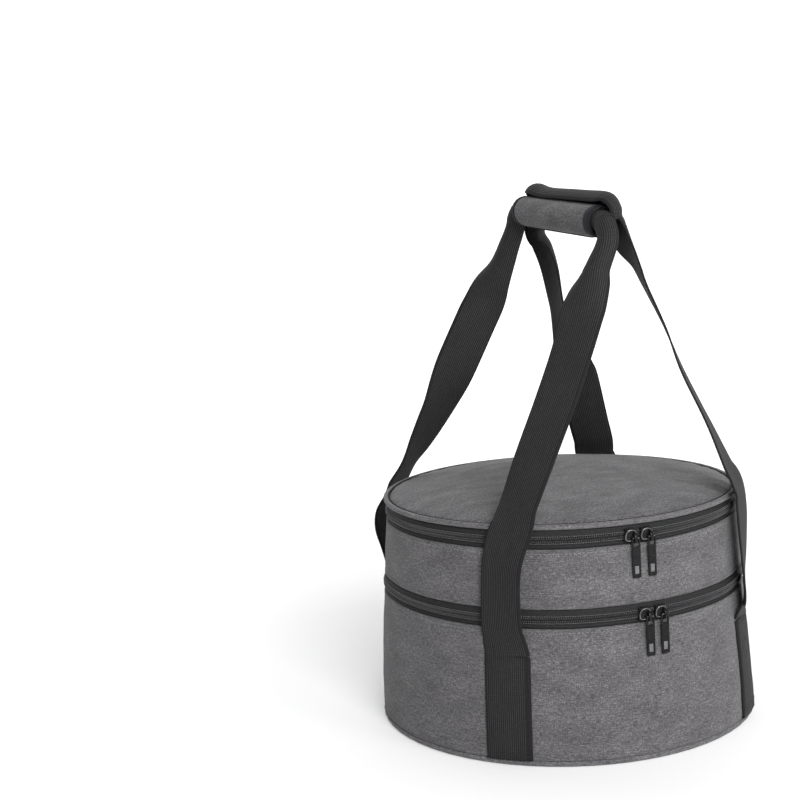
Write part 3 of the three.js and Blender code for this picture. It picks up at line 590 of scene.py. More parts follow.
# a lighter metal for the pull's window plate and eye bar: its colour is a painted reflection
M_LIGHT_METAL_REFLECTION = plain_mat("lighter_metal_painted_reflection", (0.11, 0.11, 0.112), (0.19, 0.19, 0.192), 0.40, 420, metal=0.75, bump=0.2)
M_LINER = liner_mat("liner_film")
M_FOAM = plain_mat("foam", (0.62, 0.61, 0.58), (0.80, 0.79, 0.76), 0.95, 420, spec=0.2, bump=0.5, dist=0.0004)
M_BOARD = plain_mat("board", (0.52, 0.52, 0.50), (0.66, 0.66, 0.64), 0.6, 160, spec=0.3)
M_HOOK = plain_mat("hook_and_loop", (0.006, 0.006, 0.007), (0.030, 0.030, 0.032), 0.95, 1400, spec=0.15, bump=1.0, dist=0.0008)

# ------------------------------------------------------- lower compartment
R_on = lambda a, z, o: surf(a, z) + o
# the hem above each wall's edge: a fold that stands a little proud, with the
# stitch line pressed into it


def hem(a, z, o, edge, way):
    """Extra offset of the outer face near an edge that is folded under and stitched."""
    d = np.abs(edge - z)
    roll = 0.35 * np.exp(-((d - 1.4) / 1.5) ** 2)
    groove = -0.38 * np.exp(-((d - 3.4) / 0.75) ** 2)
    pucker = 0.10 * np.sin(np.asarray(a, float) * 5.1 + 3 * np.sin(np.asarray(a, float) * 0.17)) * np.exp(-((d - 4.5) / 2.5) ** 2)
    return (roll + groove + pucker) * (np.asarray(o) > -0.2)


def low_wall(a, z, o):
    outer = np.asarray(o) > -0.2
    seam = -0.6 * np.exp(-((z - START_Z) / 1.6) ** 2)
    return surf(a, z) + o + hem(a, z, o, SHELL_TOP, -1) + (dimple(a, z) + seam) * outer


def band_wall(a, z, o):
    outer = np.asarray(o) > -0.2
    return surf(a, z) + o + hem(a, z, o, BAND_TOP, -1) + hem(a, z, o, BAND_BOTTOM, 1) * 0.8 + dimple(a, z) * outer


link("wall_lower", revolve("wall_lower", sheet_profile(START_Z, SHELL_TOP, 0, 1.5, 72), low_wall, n=420), M_FABRIC, "base", "lower_wall_shell")
link("foam_lower", revolve("foam_lower", sheet_profile(START_Z, SHELL_TOP - 1.5, 1.8, 5.0, 16), R_on, n=180), M_FOAM, "base", "lower_wall_foam")


def crinkle(a, r, z, s=1.0):
    return s * (0.35 * np.sin(0.09 * z + 7 * a * D) + 0.3 * np.sin(19 * a * D + 0.05 * z + 2 * np.sin(4 * a * D)))


def liner_shape(z_floor):
    def f(A, R, Z):
        lift = np.clip((Z - z_floor) / 12, 0, 1)
        out = np.clip((R - 60) / 60, 0, 1)
        R2 = np.where(R > 120, R + (wobble(A, Z) + swell(A, Z)) * lift - 0.3 * lift + crinkle(A, R, Z, 0.5) * lift * 0.6, R)
        Z2 = Z + 0.25 * out * (1 - lift) * np.sin(9 * A * D + R * 0.08)
        return R2, Z2
    return f


def cup(z0, z1, out, thick):
    r0, r1 = float(wall(z0)) - out, float(wall(z1)) - out
    n = 22
    rows = [(0, z0), (40, z0), (80, z0), (115, z0), (r0 - 5, z0), (r0 - 2.0, z0 + 0.4), (r0 - 0.6, z0 + 1.6)]
    rows += [(float(wall(z)) - out, z) for z in np.linspace(z0 + 4, z1, n)]
    rows += [(float(wall(z)) - out - thick, z) for z in np.linspace(z1, z0 + 4.6, n)]
    rows += [(r0 - thick - 1.0, z0 + 2.0), (r0 - thick - 3.2, z0 + thick + 0.2), (r0 - thick - 7, z0 + thick), (115, z0 + thick), (80, z0 + thick), (40, z0 + thick), (0, z0 + thick)]
    return rows


link("liner_lower", disc("liner_lower", cup(9.9, SHELL_TOP, 7.1, 1.0), 200, liner_shape(9.9)), M_LINER, "base", "lower_liner")


def ring_binding(name, z, body, r_in, r_out):
    """A tape folded over the raw edges of fabric, foam and liner."""
    prof = rounded([(0.0, z + 1.0), (-(r_out - r_in), z + 1.0), (-(r_out - r_in), z - 5.0), (-(r_out - r_in) + 0.5, z - 5.0),
                    (-(r_out - r_in) + 0.5, z + 0.45), (-0.5, z + 0.45), (0.0, z + 0.3)], 0.25, 2)
    off = r_out - float(wall(z))
    link(name, revolve(name, prof, lambda a, zz, o: wall(z) + wobble(a, z) + swell(a, z) + off + o + 0.12 * np.sin(40 * a * D), n=240), M_BIND, body)


ring_binding("edge_binding_lower", SHELL_TOP, "base", float(wall(SHELL_TOP)) - 8.6, float(wall(SHELL_TOP)) - 1.7)
ring_binding("edge_binding_band", BAND_TOP, "upper_compartment", float(wall(BAND_TOP)) - 8.6, float(wall(BAND_TOP)) - 1.7)

# the base: fabric disc, board, foam and the welt round its edge
base_rows = [(0, 0.15), (60, 0.15), (110, 0.1), (140, 0.05), (150, 0.0), (153.8, 0.05), (154.8, 0.6), (155.0, 1.1), (154.2, 1.5), (120, 1.5), (60, 1.5), (0, 1.5)]
link("base_fabric", disc("base_fabric", base_rows, 180, lambda A, R, Z: (R, Z + 0.08 * (Z < 0.5) * (R < 146) * (1 + np.sin(5 * A * D + R * 0.06)))), M_FABRIC_DARK, "base", "base_outer_panel")
link("base_stiffener", disc("base_stiffener", [(0, 1.8), (100, 1.8), (150.2, 1.8), (151, 2.2), (151, 3.9), (150.2, 4.3), (100, 4.3), (0, 4.3)], 160), M_BOARD, "base", "base_board")
link("base_padding", disc("base_padding", [(0, 4.6), (100, 4.6), (150.4, 4.6), (151.8, 5.6), (151.8, 8.4), (150.2, 9.6), (100, 9.6), (0, 9.6)], 160), M_FOAM, "base", "base_foam")


def cord_profile(r, z, rad, steps=14):
    return [(r + rad * math.cos(t), z + rad * math.sin(t)) for t in np.arange(steps) / steps * 2 * math.pi]


welt = [(r, z) for r, z in rounded([(155.4, 0.5), (156.7, 0.0), (158.9, 0.0), (160.3, 1.3), (160.3, 3.4), (158.9, 4.6), (155.4, 4.6)], 1.1, 4)]
link("base_welt_cord", revolve("base_welt_cord", welt, lambda a, z, o: o + 0.16 * np.sin(62 * a * D + 2 * np.sin(3 * a * D)) * np.clip(z, 0, 1) + 0.6 * wobble(a, 4.0) * 0.4, n=420), M_FABRIC_PIPE, "base", "base_welt")


def ring_stitches(name, body, z, r_off, pitch=3.3, length=2.3, rad=0.24, span=(-180, 180), shape=surf, bow=0.12, mat=None, skip=()):
    r = float(wall(z))
    total = (span[1] - span[0]) * D * r
    n = int(total / pitch)
    a0 = span[0] + (np.arange(n) + 0.2) * (span[1] - span[0]) / n
    a1 = a0 + length / pitch * (span[1] - span[0]) / n
    keep = np.ones(n, bool)
    for lo, hi in skip:
        keep &= ~((a0 > lo) & (a1 < hi))
    a0, a1 = a0[keep], a1[keep]
    zj = z + RNG.normal(0, 0.07, len(a0))
    s = polar(shape(a0, zj) + r_off, a0, zj)
    e = polar(shape(a1, zj) + r_off, a1, zj + RNG.normal(0, 0.05, len(a0)))
    return link(name, tubes(name, s, e, polar(1.0, (a0 + a1) / 2, 0 * a0), rad, bow), mat or M_THREAD, body)


PANEL_SKIP = ((-180.1, -ZIP_END + 0.5), (ZIP_END - 0.5, 180.1))
ring_stitches("stitch_lower_hem", "base", SHELL_TOP - 3.4, -0.18, span=(-ZIP_END, ZIP_END), mat=M_THREAD)
ring_stitches("stitch_band_hem", "upper_compartment", BAND_TOP - 3.4, -0.18, span=(-ZIP_END, ZIP_END), mat=M_THREAD)
ring_stitches("stitch_band_foot", "upper_compartment", BAND_BOTTOM + 3.0, -0.22, span=(-ZIP_END, ZIP_END), mat=M_THREAD_FABRIC, length=2.0)


# --------------------------------------------------------------------- zips
def zip_half(name, body, node, zc, side):
    """Half a zip: woven tape with a raised cord by the chain, coil and its sewing."""
    s = 1 if side == "upper" else -1
    edge = ABOVE if side == "upper" else BELOW
    r0 = wall(zc) - 0.3
    prof = []
    outer = [(0.0, edge), (0.0, edge * 0.75), (0.02, edge * 0.55), (0.0, 3.9), (0.16, 3.4), (0.42, 2.95), (0.45, 2.5), (0.2, 2.1), (-0.2, 1.7), (-0.25, 0.9), (-0.3, 0.65)]
    inner = [(-1.1, 0.65), (-1.15, 2.5), (-1.15, edge * 0.75), (-1.1, edge)]
    for o, d in outer + inner:
        prof.append((o, zc + s * d))
    at = lambda a, z, o: r0 + wobble(a, zc) + o
    tape = revolve(name + "_t", prof, at, n=330, span=(-ZIP_END, ZIP_END), inset=0.2)
    # the coil: one rounded loop per tooth, the two halves out of step
    pitch = 1.45
    n = int(2 * ZIP_END * D * MID_R / pitch)
    step = 2 * (ZIP_END - 0.4) / n
    a = -ZIP_END + 0.4 + (np.arange(n) + (0.25 if s > 0 else 0.75)) * step
    rr = wall(zc) + wobble(a, zc) + 0.25
    s0 = polar(rr - 0.1, a, zc + s * 2.45)
    e0 = polar(rr + 0.05, a, zc - s * 0.15)
    teeth = tubes(name + "_c", s0, e0, polar(1.0, a, 0 * a), 0.56, bow=0.35, ring=8, rows=5, flat=1.35)
    # the sewing that holds the coil on its tape
    m = int(n * 0.8)
    st = 2 * (ZIP_END - 0.4) / m
    a0 = -ZIP_END + 0.4 + np.arange(m) * st
    a1 = a0 + 0.62 * st
    s1 = polar(wall(zc) - 0.3 + wobble(a0, zc) + 0.52, a0, zc + s * 2.72)
    e1 = polar(wall(zc) - 0.3 + wobble(a1, zc) + 0.52, a1, zc + s * 2.72)
    sew = tubes(name + "_s", s1, e1, polar(1.0, a0, 0 * a0), 0.26, bow=0.10, ring=5, rows=3)
    me = join_meshes(name, [(tape, 0), (teeth, 1), (sew, 2)])
    link(name, me, [M_TAPE, M_COIL, M_THREAD_ZIP], body, node)


zip_half("zip_lower_bottom_half", "base", "lower_zip_tape_lower", LZ, "lower")
zip_half("zip_lower_top_half", "upper_compartment", "lower_zip_tape_upper", LZ, "upper")
zip_half("zip_upper_bottom_half", "upper_compartment", "upper_zip_tape_lower", UZ, "lower")
zip_half("zip_upper_top_half", "lid", "upper_zip_tape_upper", UZ, "upper")

# --------------------------------------------------------- upper compartment
link("wall_band", revolve("wall_band", sheet_profile(BAND_BOTTOM, BAND_TOP, 0, 1.5, 40), band_wall, n=420), M_FABRIC, "upper_compartment", "band_wall_shell")
link("foam_band", revolve("foam_band", sheet_profile(BAND_BOTTOM, BAND_TOP - 1, 1.8, 5.0, 10), R_on, n=180), M_FOAM, "upper_compartment", "band_foam")
link("liner_band", disc("liner_band", cup(BAND_BOTTOM + 0.2, BAND_TOP, 7.1, 1.0), 200, liner_shape(BAND_BOTTOM + 0.2)), M_LINER, "upper_compartment", "band_liner")
dz0, dz1 = LZ + 1.7, BAND_BOTTOM - 0.3
link("divider", disc("divider", [(0, dz0), (90, dz0), (148.6, dz0), (150.0, dz0 + 0.6), (150.4, dz0 + 1.6), (150.4, dz1 - 1.2), (149.6, dz1 - 0.2), (90, dz1), (0, dz1)], 200,
     lambda A, R, Z: (R, Z - 0.25 * (Z < dz0 + 0.5) * (R < 144) * np.sin(R * 0.13) * np.sin(A * D * 6))), M_LINER, "upper_compartment", "divider_panel")

# ------------------------------------------------------------------------ lid
DOME_EDGE = PIPING_R - 2.2 - 0.3
DOME = np.array([[0, 204.0], [38, 203.5], [75, 201.6], [100, 199.0], [118, 196.4], [131, 194.0], [139.5, 192.0], [143.6, 190.4], [145.6, 188.4], [146.0, 186.6]])


def dome_height(r):
    # a straight-line interpolation through the section's first seven points
    x, y = DOME[:7, 0], DOME[:7, 1]
    return np.interp(np.asarray(r, float), x, y)


def smooth_curve(pts, per=8):
    """Catmull-Rom through the points."""
    p = np.asarray(pts, float)
    q = np.vstack([2 * p[0] - p[1], p, 2 * p[-1] - p[-2]])
    out = []
    for k in range(1, len(q) - 2):
        for t in np.arange(per) / per:
            a, b, c, d = q[k - 1], q[k], q[k + 1], q[k + 2]
            out.append(0.5 * ((2 * b) + (c - a) * t + (2 * a - 5 * b + 4 * c - d) * t * t + (3 * b - a - 3 * c + d) * t ** 3))
    out.append(p[-1])
    return np.array(out)


def lid_puff(A, R):
    """Unevenness of the stuffed lid: broad hollows, and short puckers from the edge seam."""
    a = A * D
    x, y = R * np.sin(a) / 100, -R * np.cos(a) / 100
    broad = 0.9 * np.sin(2.3 * x + 1.1 * y + 0.5) * np.sin(1.7 * y - 0.8 * x + 1.0) + 0.5 * np.sin(4.1 * x - 2.2 * y) * np.sin(3.3 * y + 0.6)
    far = (A - 192 + 180) % 360 - 180
    broad = broad - 3.0 * np.exp(-(far / 24.0) ** 2) * np.exp(-((R - 108) / 26.0) ** 2)
    edge = np.exp(-((DOME_EDGE - R) / 11.0) ** 2)
    puck = 0.34 * np.sin(41 * a + 3 * np.sin(5 * a)) * edge + 0.2 * np.sin(77 * a + 2 * np.sin(7 * a)) * np.exp(-((DOME_EDGE - R) / 6.0) ** 2)
    fold = 0
    for at, w, amp, reach in ((-43, 3.2, 0.8, 42), (43, 3.2, 0.8, 42), (12, 4.5, 0.35, 30), (-14, 3.8, 0.35, 34), (137, 3.5, 0.7, 40), (-137, 3.5, 0.7, 40), (88, 4, 0.4, 30), (-90, 4, 0.4, 32)):
        d = (A - at + 180) % 360 - 180
        fold = fold - amp * np.exp(-(d / w) ** 2) * np.exp(-((DOME_EDGE - 8 - R) / reach) ** 2)
    rim = np.clip((DOME_EDGE - R) / 4, 0, 1)
    return (broad * np.clip(1.25 - R / 150, 0, 1) + fold) * rim + puck * np.clip((DOME_EDGE - R) / 1.5, 0, 1)


dome_out = smooth_curve(DOME, 7)
dome_in = [(max(r - 1.4 * min(1, r / 140), 0), z - 1.5) for r, z in dome_out[::-1]]
dome_in[0] = (DOME_EDGE - 1.5, 186.6)


def dome_shape(A, R, Z):
    p = lid_puff(A, R)
    low = np.clip((Z - 186.5) / 3, 0, 1)
    return R + 0.25 * wobble(A, 185) * (R > 100), Z + p * low


rows = [tuple(p) for p in dome_out] + [(DOME_EDGE - 0.4, 186.0), (DOME_EDGE - 1.1, 186.0)] + dome_in
lid_top = link("lid_top", disc("lid_top", rows, 420, dome_shape), M_FABRIC_LID, "lid", "lid_dome")


def lid_under(A, R, Z):
    return R, Z + lid_puff(A, np.minimum(R, 130)) * 0.8 * (R < 130)


def under_rows(d0, d1, drop=0.0):
    o = [(r * (1 - d0 / 146.0), z - d0) for r, z in dome_out if z - d0 > 184 or r < 140]
    o = [(r, z) for r, z in o if r < DOME_EDGE - d0 - 0.2]
    i = [(r * (1 - d1 / 146.0), z - d1) for r, z in dome_out if r * (1 - d1 / 146.0) < DOME_EDGE - d1 - 0.5][::-1]
    lo = LID_BOTTOM + 0.9 - drop
    return o + [(DOME_EDGE - d0, max(o[-1][1] - 1.0, lo + 0.6)), (DOME_EDGE - d0, lo + 0.4), (DOME_EDGE - d0 - 0.4, lo), (DOME_EDGE - d1 + 0.4, lo), (DOME_EDGE - d1, lo + 0.4)] + i


link("lid_padding", disc("lid_padding", under_rows(1.95, 6.95), 180, lid_under), M_FOAM, "lid", "lid_foam")
link("lid_lining", disc("lid_lining", under_rows(7.4, 8.4, 2.5), 200, lid_under), M_LINER, "lid", "lid_liner")

# piping round the lid; the near-black flange under it and the dark line just inside it are painted shadow in the
# seam's groove
pipe = revolve("lid_piping_cord_a", cord_profile(0, PIPING_Z, 2.2, 16),
               lambda a, z, o: PIPING_R + 0.35 * wobble(a, 185) + o + 0.10 * np.sin(71 * a * D + 2 * np.sin(3 * a * D)), n=480)
flange = revolve("lid_piping_cord_b", [(-1.7, PIPING_Z - 1.6), (-0.5, PIPING_Z - 2.35), (0.6, PIPING_Z - 2.35), (0.6, PIPING_Z - 1.4), (-1.0, PIPING_Z - 1.0)],
                 lambda a, z, o: PIPING_R + 0.35 * wobble(a, 185) + o, n=300)
link("lid_piping_cord", join_meshes("lid_piping_cord", [(pipe, 0), (flange, 1)]), [M_FABRIC_PIPE, M_SEAM_SHADOW], "lid", "lid_piping")
link("lid_seam_painted_shadow", revolve("lid_seam_painted_shadow", cord_profile(0, PIPING_Z + 1.2, 0.95, 10), lambda a, z, o: DOME_EDGE + 0.15 + 0.3 * wobble(a, 185) + o, n=360), M_SEAM_SHADOW, "lid")

# ------------------------------------------------------------- rear hinge panel


def rear_panel(name, z0, z1, rows, creases):
    """Fabric laid over the walls and zips at the rear, its side edges turned under."""
    zs = np.linspace(z0, z1, rows)
    aa = np.concatenate([np.linspace(180 - PANEL_HALF, 180 - PANEL_HALF + 1.2, 5)[:-1], np.linspace(180 - PANEL_HALF + 1.2, 180 + PANEL_HALF - 1.2, 70), np.linspace(180 + PANEL_HALF - 1.2, 180 + PANEL_HALF, 5)[1:]])
    A, Z = np.meshgrid(aa, zs, indexing="ij")
    side = np.minimum(A - (180 - PANEL_HALF), 180 + PANEL_HALF - A)
    base = wall(Z) + wobble(A, Z) + np.where((Z < SHELL_TOP - 2) | ((Z > BAND_BOTTOM + 2) & (Z < BAND_TOP - 2)), swell(A, Z), 0.0)
    # bridges the step over each zip
    for zc in (LZ, UZ):
        base = base + 1.25 * np.exp(-((Z - zc) / 4.0) ** 2)
    groove = -0.3 * np.exp(-((side - 0.95) / 0.28) ** 2)
    wave = 0.25 * np.sin(0.09 * Z + A * 0.25) * np.clip(side / 4, 0, 1)
    crease = 0
    for zc, amp, w in creases:
        crease = crease - amp * np.exp(-((Z - zc) / w) ** 2)
    edge_round = -0.9 * np.clip(1 - side / 0.25, 0, 1) ** 2
    Ro = base + 1.7 + groove + wave + crease + edge_round
    Ri = base + 0.45 + 0 * A
    outer = polar(Ro, A, Z)
    inner = polar(np.minimum(Ri, Ro - 0.25), A, Z)
    # one closed shell: outer rows forward, inner rows back
    P = np.concatenate([outer, inner[:, ::-1]], axis=1)
    U = aa * D * 154
    V = np.concatenate([zs, zs[::-1], zs[:1]])
    me = grid(name, P, U, V, close_j=True, cap=True)
    return me


low_panel = link("rear_panel_bottom", rear_panel("rear_panel_bottom", START_Z + 0.1, LZ + ABOVE + 0.3, 110, ((LZ - 1.0, 1.0, 1.3), (LZ - BELOW - 3.0, 0.25, 1.0), (LZ + ABOVE + 0.3, 0.35, 0.8))),
                 M_FABRIC, node="rear_panel_lower")
top_panel = link("rear_panel_top", rear_panel("rear_panel_top", LZ + ABOVE + 0.55, LID_BOTTOM + 0.4, 70, ((UZ, 0.7, 1.3), (LZ + ABOVE + 0.55, 0.35, 0.8))),
                 M_FABRIC, node=("rear_panel_upper", "rear_panel_lid_edge"))
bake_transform(low_panel)
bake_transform(top_panel)


def panel_stitches(name, z0, z1, body):
    out = []
    n = int((z1 - z0) / 3.2)
    zz = z0 + (np.arange(n) + 0.2) * (z1 - z0) / n
    z2 = zz + 2.2
    S, E, O = [], [], []
    for sgn in (-1, 1):
        a = np.full(n, 180 + sgn * (PANEL_HALF - 0.95))
        sw = lambda z: wall(z) + wobble(a, z) + swell(a, z) + 1.42 + 0.25 * np.sin(0.09 * z + a * 0.25) * 0.24
        S.append(polar(sw(zz), a, zz)); E.append(polar(sw(z2), a, z2)); O.append(polar(1.0, a, 0 * a))
    return link(name, tubes(name, np.vstack(S), np.vstack(E), np.vstack(O), 0.24, 0.1), M_THREAD, body)


panel_stitches("stitch_panel_bottom", START_Z + 4, LZ - 9, "base")
panel_stitches("stitch_panel_top", BAND_BOTTOM + 3, BAND_TOP - 3, "upper_compartment")

# --------------------------------------------------------------------- straps


def ribbon(stations, cuts, width=WEB_W, thick=WEB_T, per=10, across=12, v0=0.0):
    """Webbing through stations (at, wide, cup, mirror), smoothed, with rounded selvedges.

    It is made in one run and parted at the stations in `cuts`: [(name, first, last)]."""
    at = smooth_curve([s[0] for s in stations], per)
    wide = smooth_curve([s[1] for s in stations], per)
    cup_ = smooth_curve([[s[2]] for s in stations], per)[:, 0]
    mir = -1.0 if stations[0][3] else 1.0
    T = np.gradient(at, axis=0)
    T /= np.linalg.norm(T, axis=1, keepdims=True)
    W = wide - (wide * T).sum(1, keepdims=True) * T
    W /= np.linalg.norm(W, axis=1, keepdims=True)
    Nn = np.cross(T, W) * mir
    beta = np.where(np.abs(cup_) < 0.5, 0.5, cup_) * D
    rho = width / beta
    k = np.linspace(-0.5, 0.5, across + 1)
    h = thick / 2

    def face(off, ks):
        ang = beta[:, None] * ks[None]
        r = rho[:, None] - off
        return at[:, None] + W[:, None] * (r * np.sin(ang))[..., None] + Nn[:, None] * (rho[:, None] - r * np.cos(ang))[..., None]

    e = 0.5 * (1 - 0.6 / width)
    inner_k = np.linspace(-e, e, across + 1)
    front = face(h, inner_k)
    back = face(-h, inner_k)[:, ::-1]
    tip1 = face(0.0, np.array([0.5]))
    tip0 = face(0.0, np.array([-0.5]))
    P = np.concatenate([front, tip1, back, tip0], axis=1)
    ks = np.concatenate([inner_k, [0.5], inner_k[::-1], [-0.5], [inner_k[0]]])
    V = (ks + 0.5) * width
    L = cumulative(at) + v0
    # texture x runs across the webbing and y along it
    ni, nj = P.shape[:2]
    Ug = np.repeat(((ks + 0.5) * width)[None], ni, 0)
    Vg = np.repeat(L[:, None], nj + 1, 1)
    out = []
    for name, first, last in cuts:
        a, b = first * per, last * per + 1
        me = grid(name, P[a:b], Ug[a:b], Vg[a:b], close_j=True, cap=True)
        sharp_rims(me, nj, (0, b - a - 1))
        out.append(me)
    return out


def V3(*a):
    return np.array(a, float)


def leg_station(m, row):
    x, y, z, wx, wy, cup_ = row
    return (V3(-m * x, y, z), V3(-m * wx, wy, 0), cup_, m > 0)


def stand_off(rows, rear, flip=False):
    out = []
    f = -1 if flip else 1
    for z, r, ang, *more in rows:
        turn, cup_ = (more + [0, 0])[:2]
        s, c = math.sin(ang * D), math.cos(ang * D)
        w = (ang + turn) * D
        out.append((-r * s, (1 if rear else -1) * r * c, z, f * math.cos(w), f * (1 if rear else -1) * math.sin(w), -cup_ if rear else cup_))
    return out


def foot(m, rear, turns=(0, 0, 0, 0)):
    """The bend just above a sewn end, down to the wall it leaves."""
    ang = m * (180 - STRAP_A if rear else STRAP_A)
    r0 = float(surf(ang, SEWN_TOP)) + 0.3 + WEB_T / 2
    rows = ((SEWN_TOP + 0.1, r0, 13.7), (91, 0.6 * r0 + 0.4 * 157.0, 12.0), (96, 157.2, 7.0), (103, 158.5, 3.0))
    return [(z, r, STRAP_A + 0.05 * t, t, c) for (z, r, c), t in zip(rows, turns)]


TURNED = foot(-1, False, (0, 2, 5, 9)) + [(ROOT_TOP, 160.2, 43.7, 13), (136, 160.6, 43.6, 17), (158, 159.2, 43.2, 17), (176, 157.0, 41.8, 14)]
CLOSE = foot(1, True) + [(ROOT_TOP, 159.6, 43), (136, 160, 43), (158, 158, 42.8), (176, 155.6, 41.6), (190, 154.2, 39.6)]
STOOD = foot(1, False, (0, 3, 7, 12)) + [(ROOT_TOP, 159.2, 43, 16), (136, 159.2, 43, 10), (158, 158.5, 43.5, 5), (176, 157.6, 44.2, 2), (192, 156.2, 44.2, 3)]
BULGED = foot(-1, True) + [(ROOT_TOP, 159.6, 43), (130, 164.5, 43), (148, 169.5, 43.2), (164, 168, 43), (178, 160, 42.2), (190, 154.8, 41)]
LEFT_FRONT = stand_off(TURNED, False) + [(-99.8, -119.8, 190, 0.575, -0.818, 0), (-94.2, -116.6, 201, 0.47, -0.883, 0), (-88.2, -114, 211, 0.45, -0.893, 0), (-74.2, -112, 240, 0.53, -0.848, 0), (-52.6, -109.5, 283, 0.56, -0.828, 0),
    (-36.6, -107, 318, 0.55, -0.835, 6), (-26.2, -105, 345, 0.64, -0.768, 20), (-22.2, -104.5, 358, 0.66, -0.75, 70), (-18.2, -103.5, 371, 0.6, -0.8, 130), (-14.5, -102.5, 384, 0.4, -0.917, 220)]
LEFT_REAR = [(-9, 73.5, 398, -0.1, 1, 190), (-13.5, 76.5, 383, -0.26, 0.966, 140), (-19.4, 80, 365, -0.574, 0.819, 85), (-23.8, 83.4, 348, -0.82, 0.574, 45),
    (-31.8, 87, 330, -0.92, 0.39, 15), (-47.9, 94, 295, -0.934, 0.357, 0), (-63.1, 101, 260, -0.985, -0.17, 0), (-72.5, 104.6, 242, -0.94, -0.34, 0), (-82.5, 108, 224, -0.866, -0.5, 0),
    (-93, 111.5, 206, -0.73, -0.683, 0)] + stand_off(BULGED, True, True)[::-1]
RIGHT_FRONT = stand_off(STOOD, False) + [(-102.5, -114.2, 204.5, 0.66, -0.75, 0), (-96.1, -113.8, 217, 0.631, -0.776, 0), (-83.7, -112.6, 245.3, 0.56, -0.829, 0), (-75.3, -111, 264, 0.53, -0.848, 0),
    (-59.8, -108.2, 297.7, 0.513, -0.858, 0), (-49.2, -104.3, 329.7, 0.454, -0.891, 0), (-35, -98.7, 365.6, 0.39, -0.92, 4), (-31.2, -96.4, 379.3, 0.33, -0.944, 14), (-26.5, -94, 392.3, 0.15, -0.99, 40), (-23.5, -92, 404, 0.03, -1, 85)]
RIGHT_REAR = [(-31, 72, 408, 0, 1, 180), (-37.5, 74.5, 394, 0.05, 1, 130), (-44.6, 79, 372, 0, 1, 80), (-49.8, 84.5, 342, -0.08, 0.997, 35),
    (-54, 88.4, 323, -0.05, 0.999, 12), (-61.5, 93, 300, 0.25, 0.968, 4), (-69, 97, 280, 0.74, 0.67, 0), (-75.2, 100, 264, 0.89, 0.45, 0), (-87.5, 108, 224, 0.88, 0.475, 0),
    (-94, 112, 204, 0.84, 0.545, 0)] + stand_off(CLOSE, True)[::-1]


def strap_stations(m, front, rear, g):
    out = [leg_station(m, row) for row in front]

    def grip_at(y0, end, radius, a, drift):
        share = a / 82
        turn = g["turn"] * (1 - share) * D
        cup_ = g["cup"] + (g["end_cup"] - g["cup"]) * share
        reach = WEB_W / (cup_ * D)
        y = y0 + end * radius * math.sin(a * D)
        z = grip_z(y0) + float(np.interp(y0, *g["up"])) - radius * (1 - math.cos(a * D))
        lift = V3(0, end * math.sin(a * D), math.cos(a * D))
        x = V3(m, 0, 0)
        at = V3(g["x"] + m * drift * share, y, z) + x * reach * math.cos(turn) + lift * reach * math.sin(turn)
        wide = -x * math.sin(turn) + lift * math.cos(turn)
        out.append((at, wide, cup_, m > 0))

    y0, y1 = g["ends"]
    for a in (82, 55, 27):
        grip_at(y0, -1, g["front_radius"], a, g["front_drift"])
    for y in (y0, 0.5 * (y0 - 20), -20, 20, y1):
        grip_at(y, 1, 16, 0, 0)
    for a in (27, 55, 82):
        grip_at(y1, 1, g["rear_radius"], a, g["rear_drift"])
    out += [leg_station(m, row) for row in rear]
    return out


LEFT_GRIP = dict(x=WRAP_X, up=([0], [0]), turn=0, cup=250, end_cup=255, front_radius=16, front_drift=4, rear_drift=1.5, rear_radius=15, ends=(WRAP_F - 1, WRAP_B + 1))
RIGHT_GRIP = dict(x=13.5, up=([-75, -20, 20, 42], [12.2, 11.2, 10.6, 13]), turn=60, cup=204, end_cup=150, front_radius=13, front_drift=-6, rear_drift=6, rear_radius=12, ends=(-75, 42))
for side, m, front, rear, grip in (("left", -1, LEFT_FRONT, LEFT_REAR, LEFT_GRIP), ("right", 1, RIGHT_FRONT, RIGHT_REAR, RIGHT_GRIP)):
    st = strap_stations(m, front, rear, grip)
    last = len(st) - 1
    parts = ribbon(st, [(f"strap_root_webbing_{side}_front", 0, 4), (f"strap_{side}_loop", 4, last - 4), (f"strap_root_webbing_{side}_rear", last - 4, last)], v0=87)
    loop = link(f"strap_{side}_loop", parts[1], M_WEB, node=(f"strap_loop_{side}", f"strap_root_{side}_front", f"strap_root_{side}_rear"))
    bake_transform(loop)
    for end, me in (("front", parts[0]), ("rear", parts[2])):
        root = link(f"strap_root_webbing_{side}_{end}", me, M_WEB, node=f"strap_root_{side}_{end}")
        q = polar(159.0, m * (STRAP_A if end == "front" else 180 - STRAP_A), 0) / 1000
        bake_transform(root)

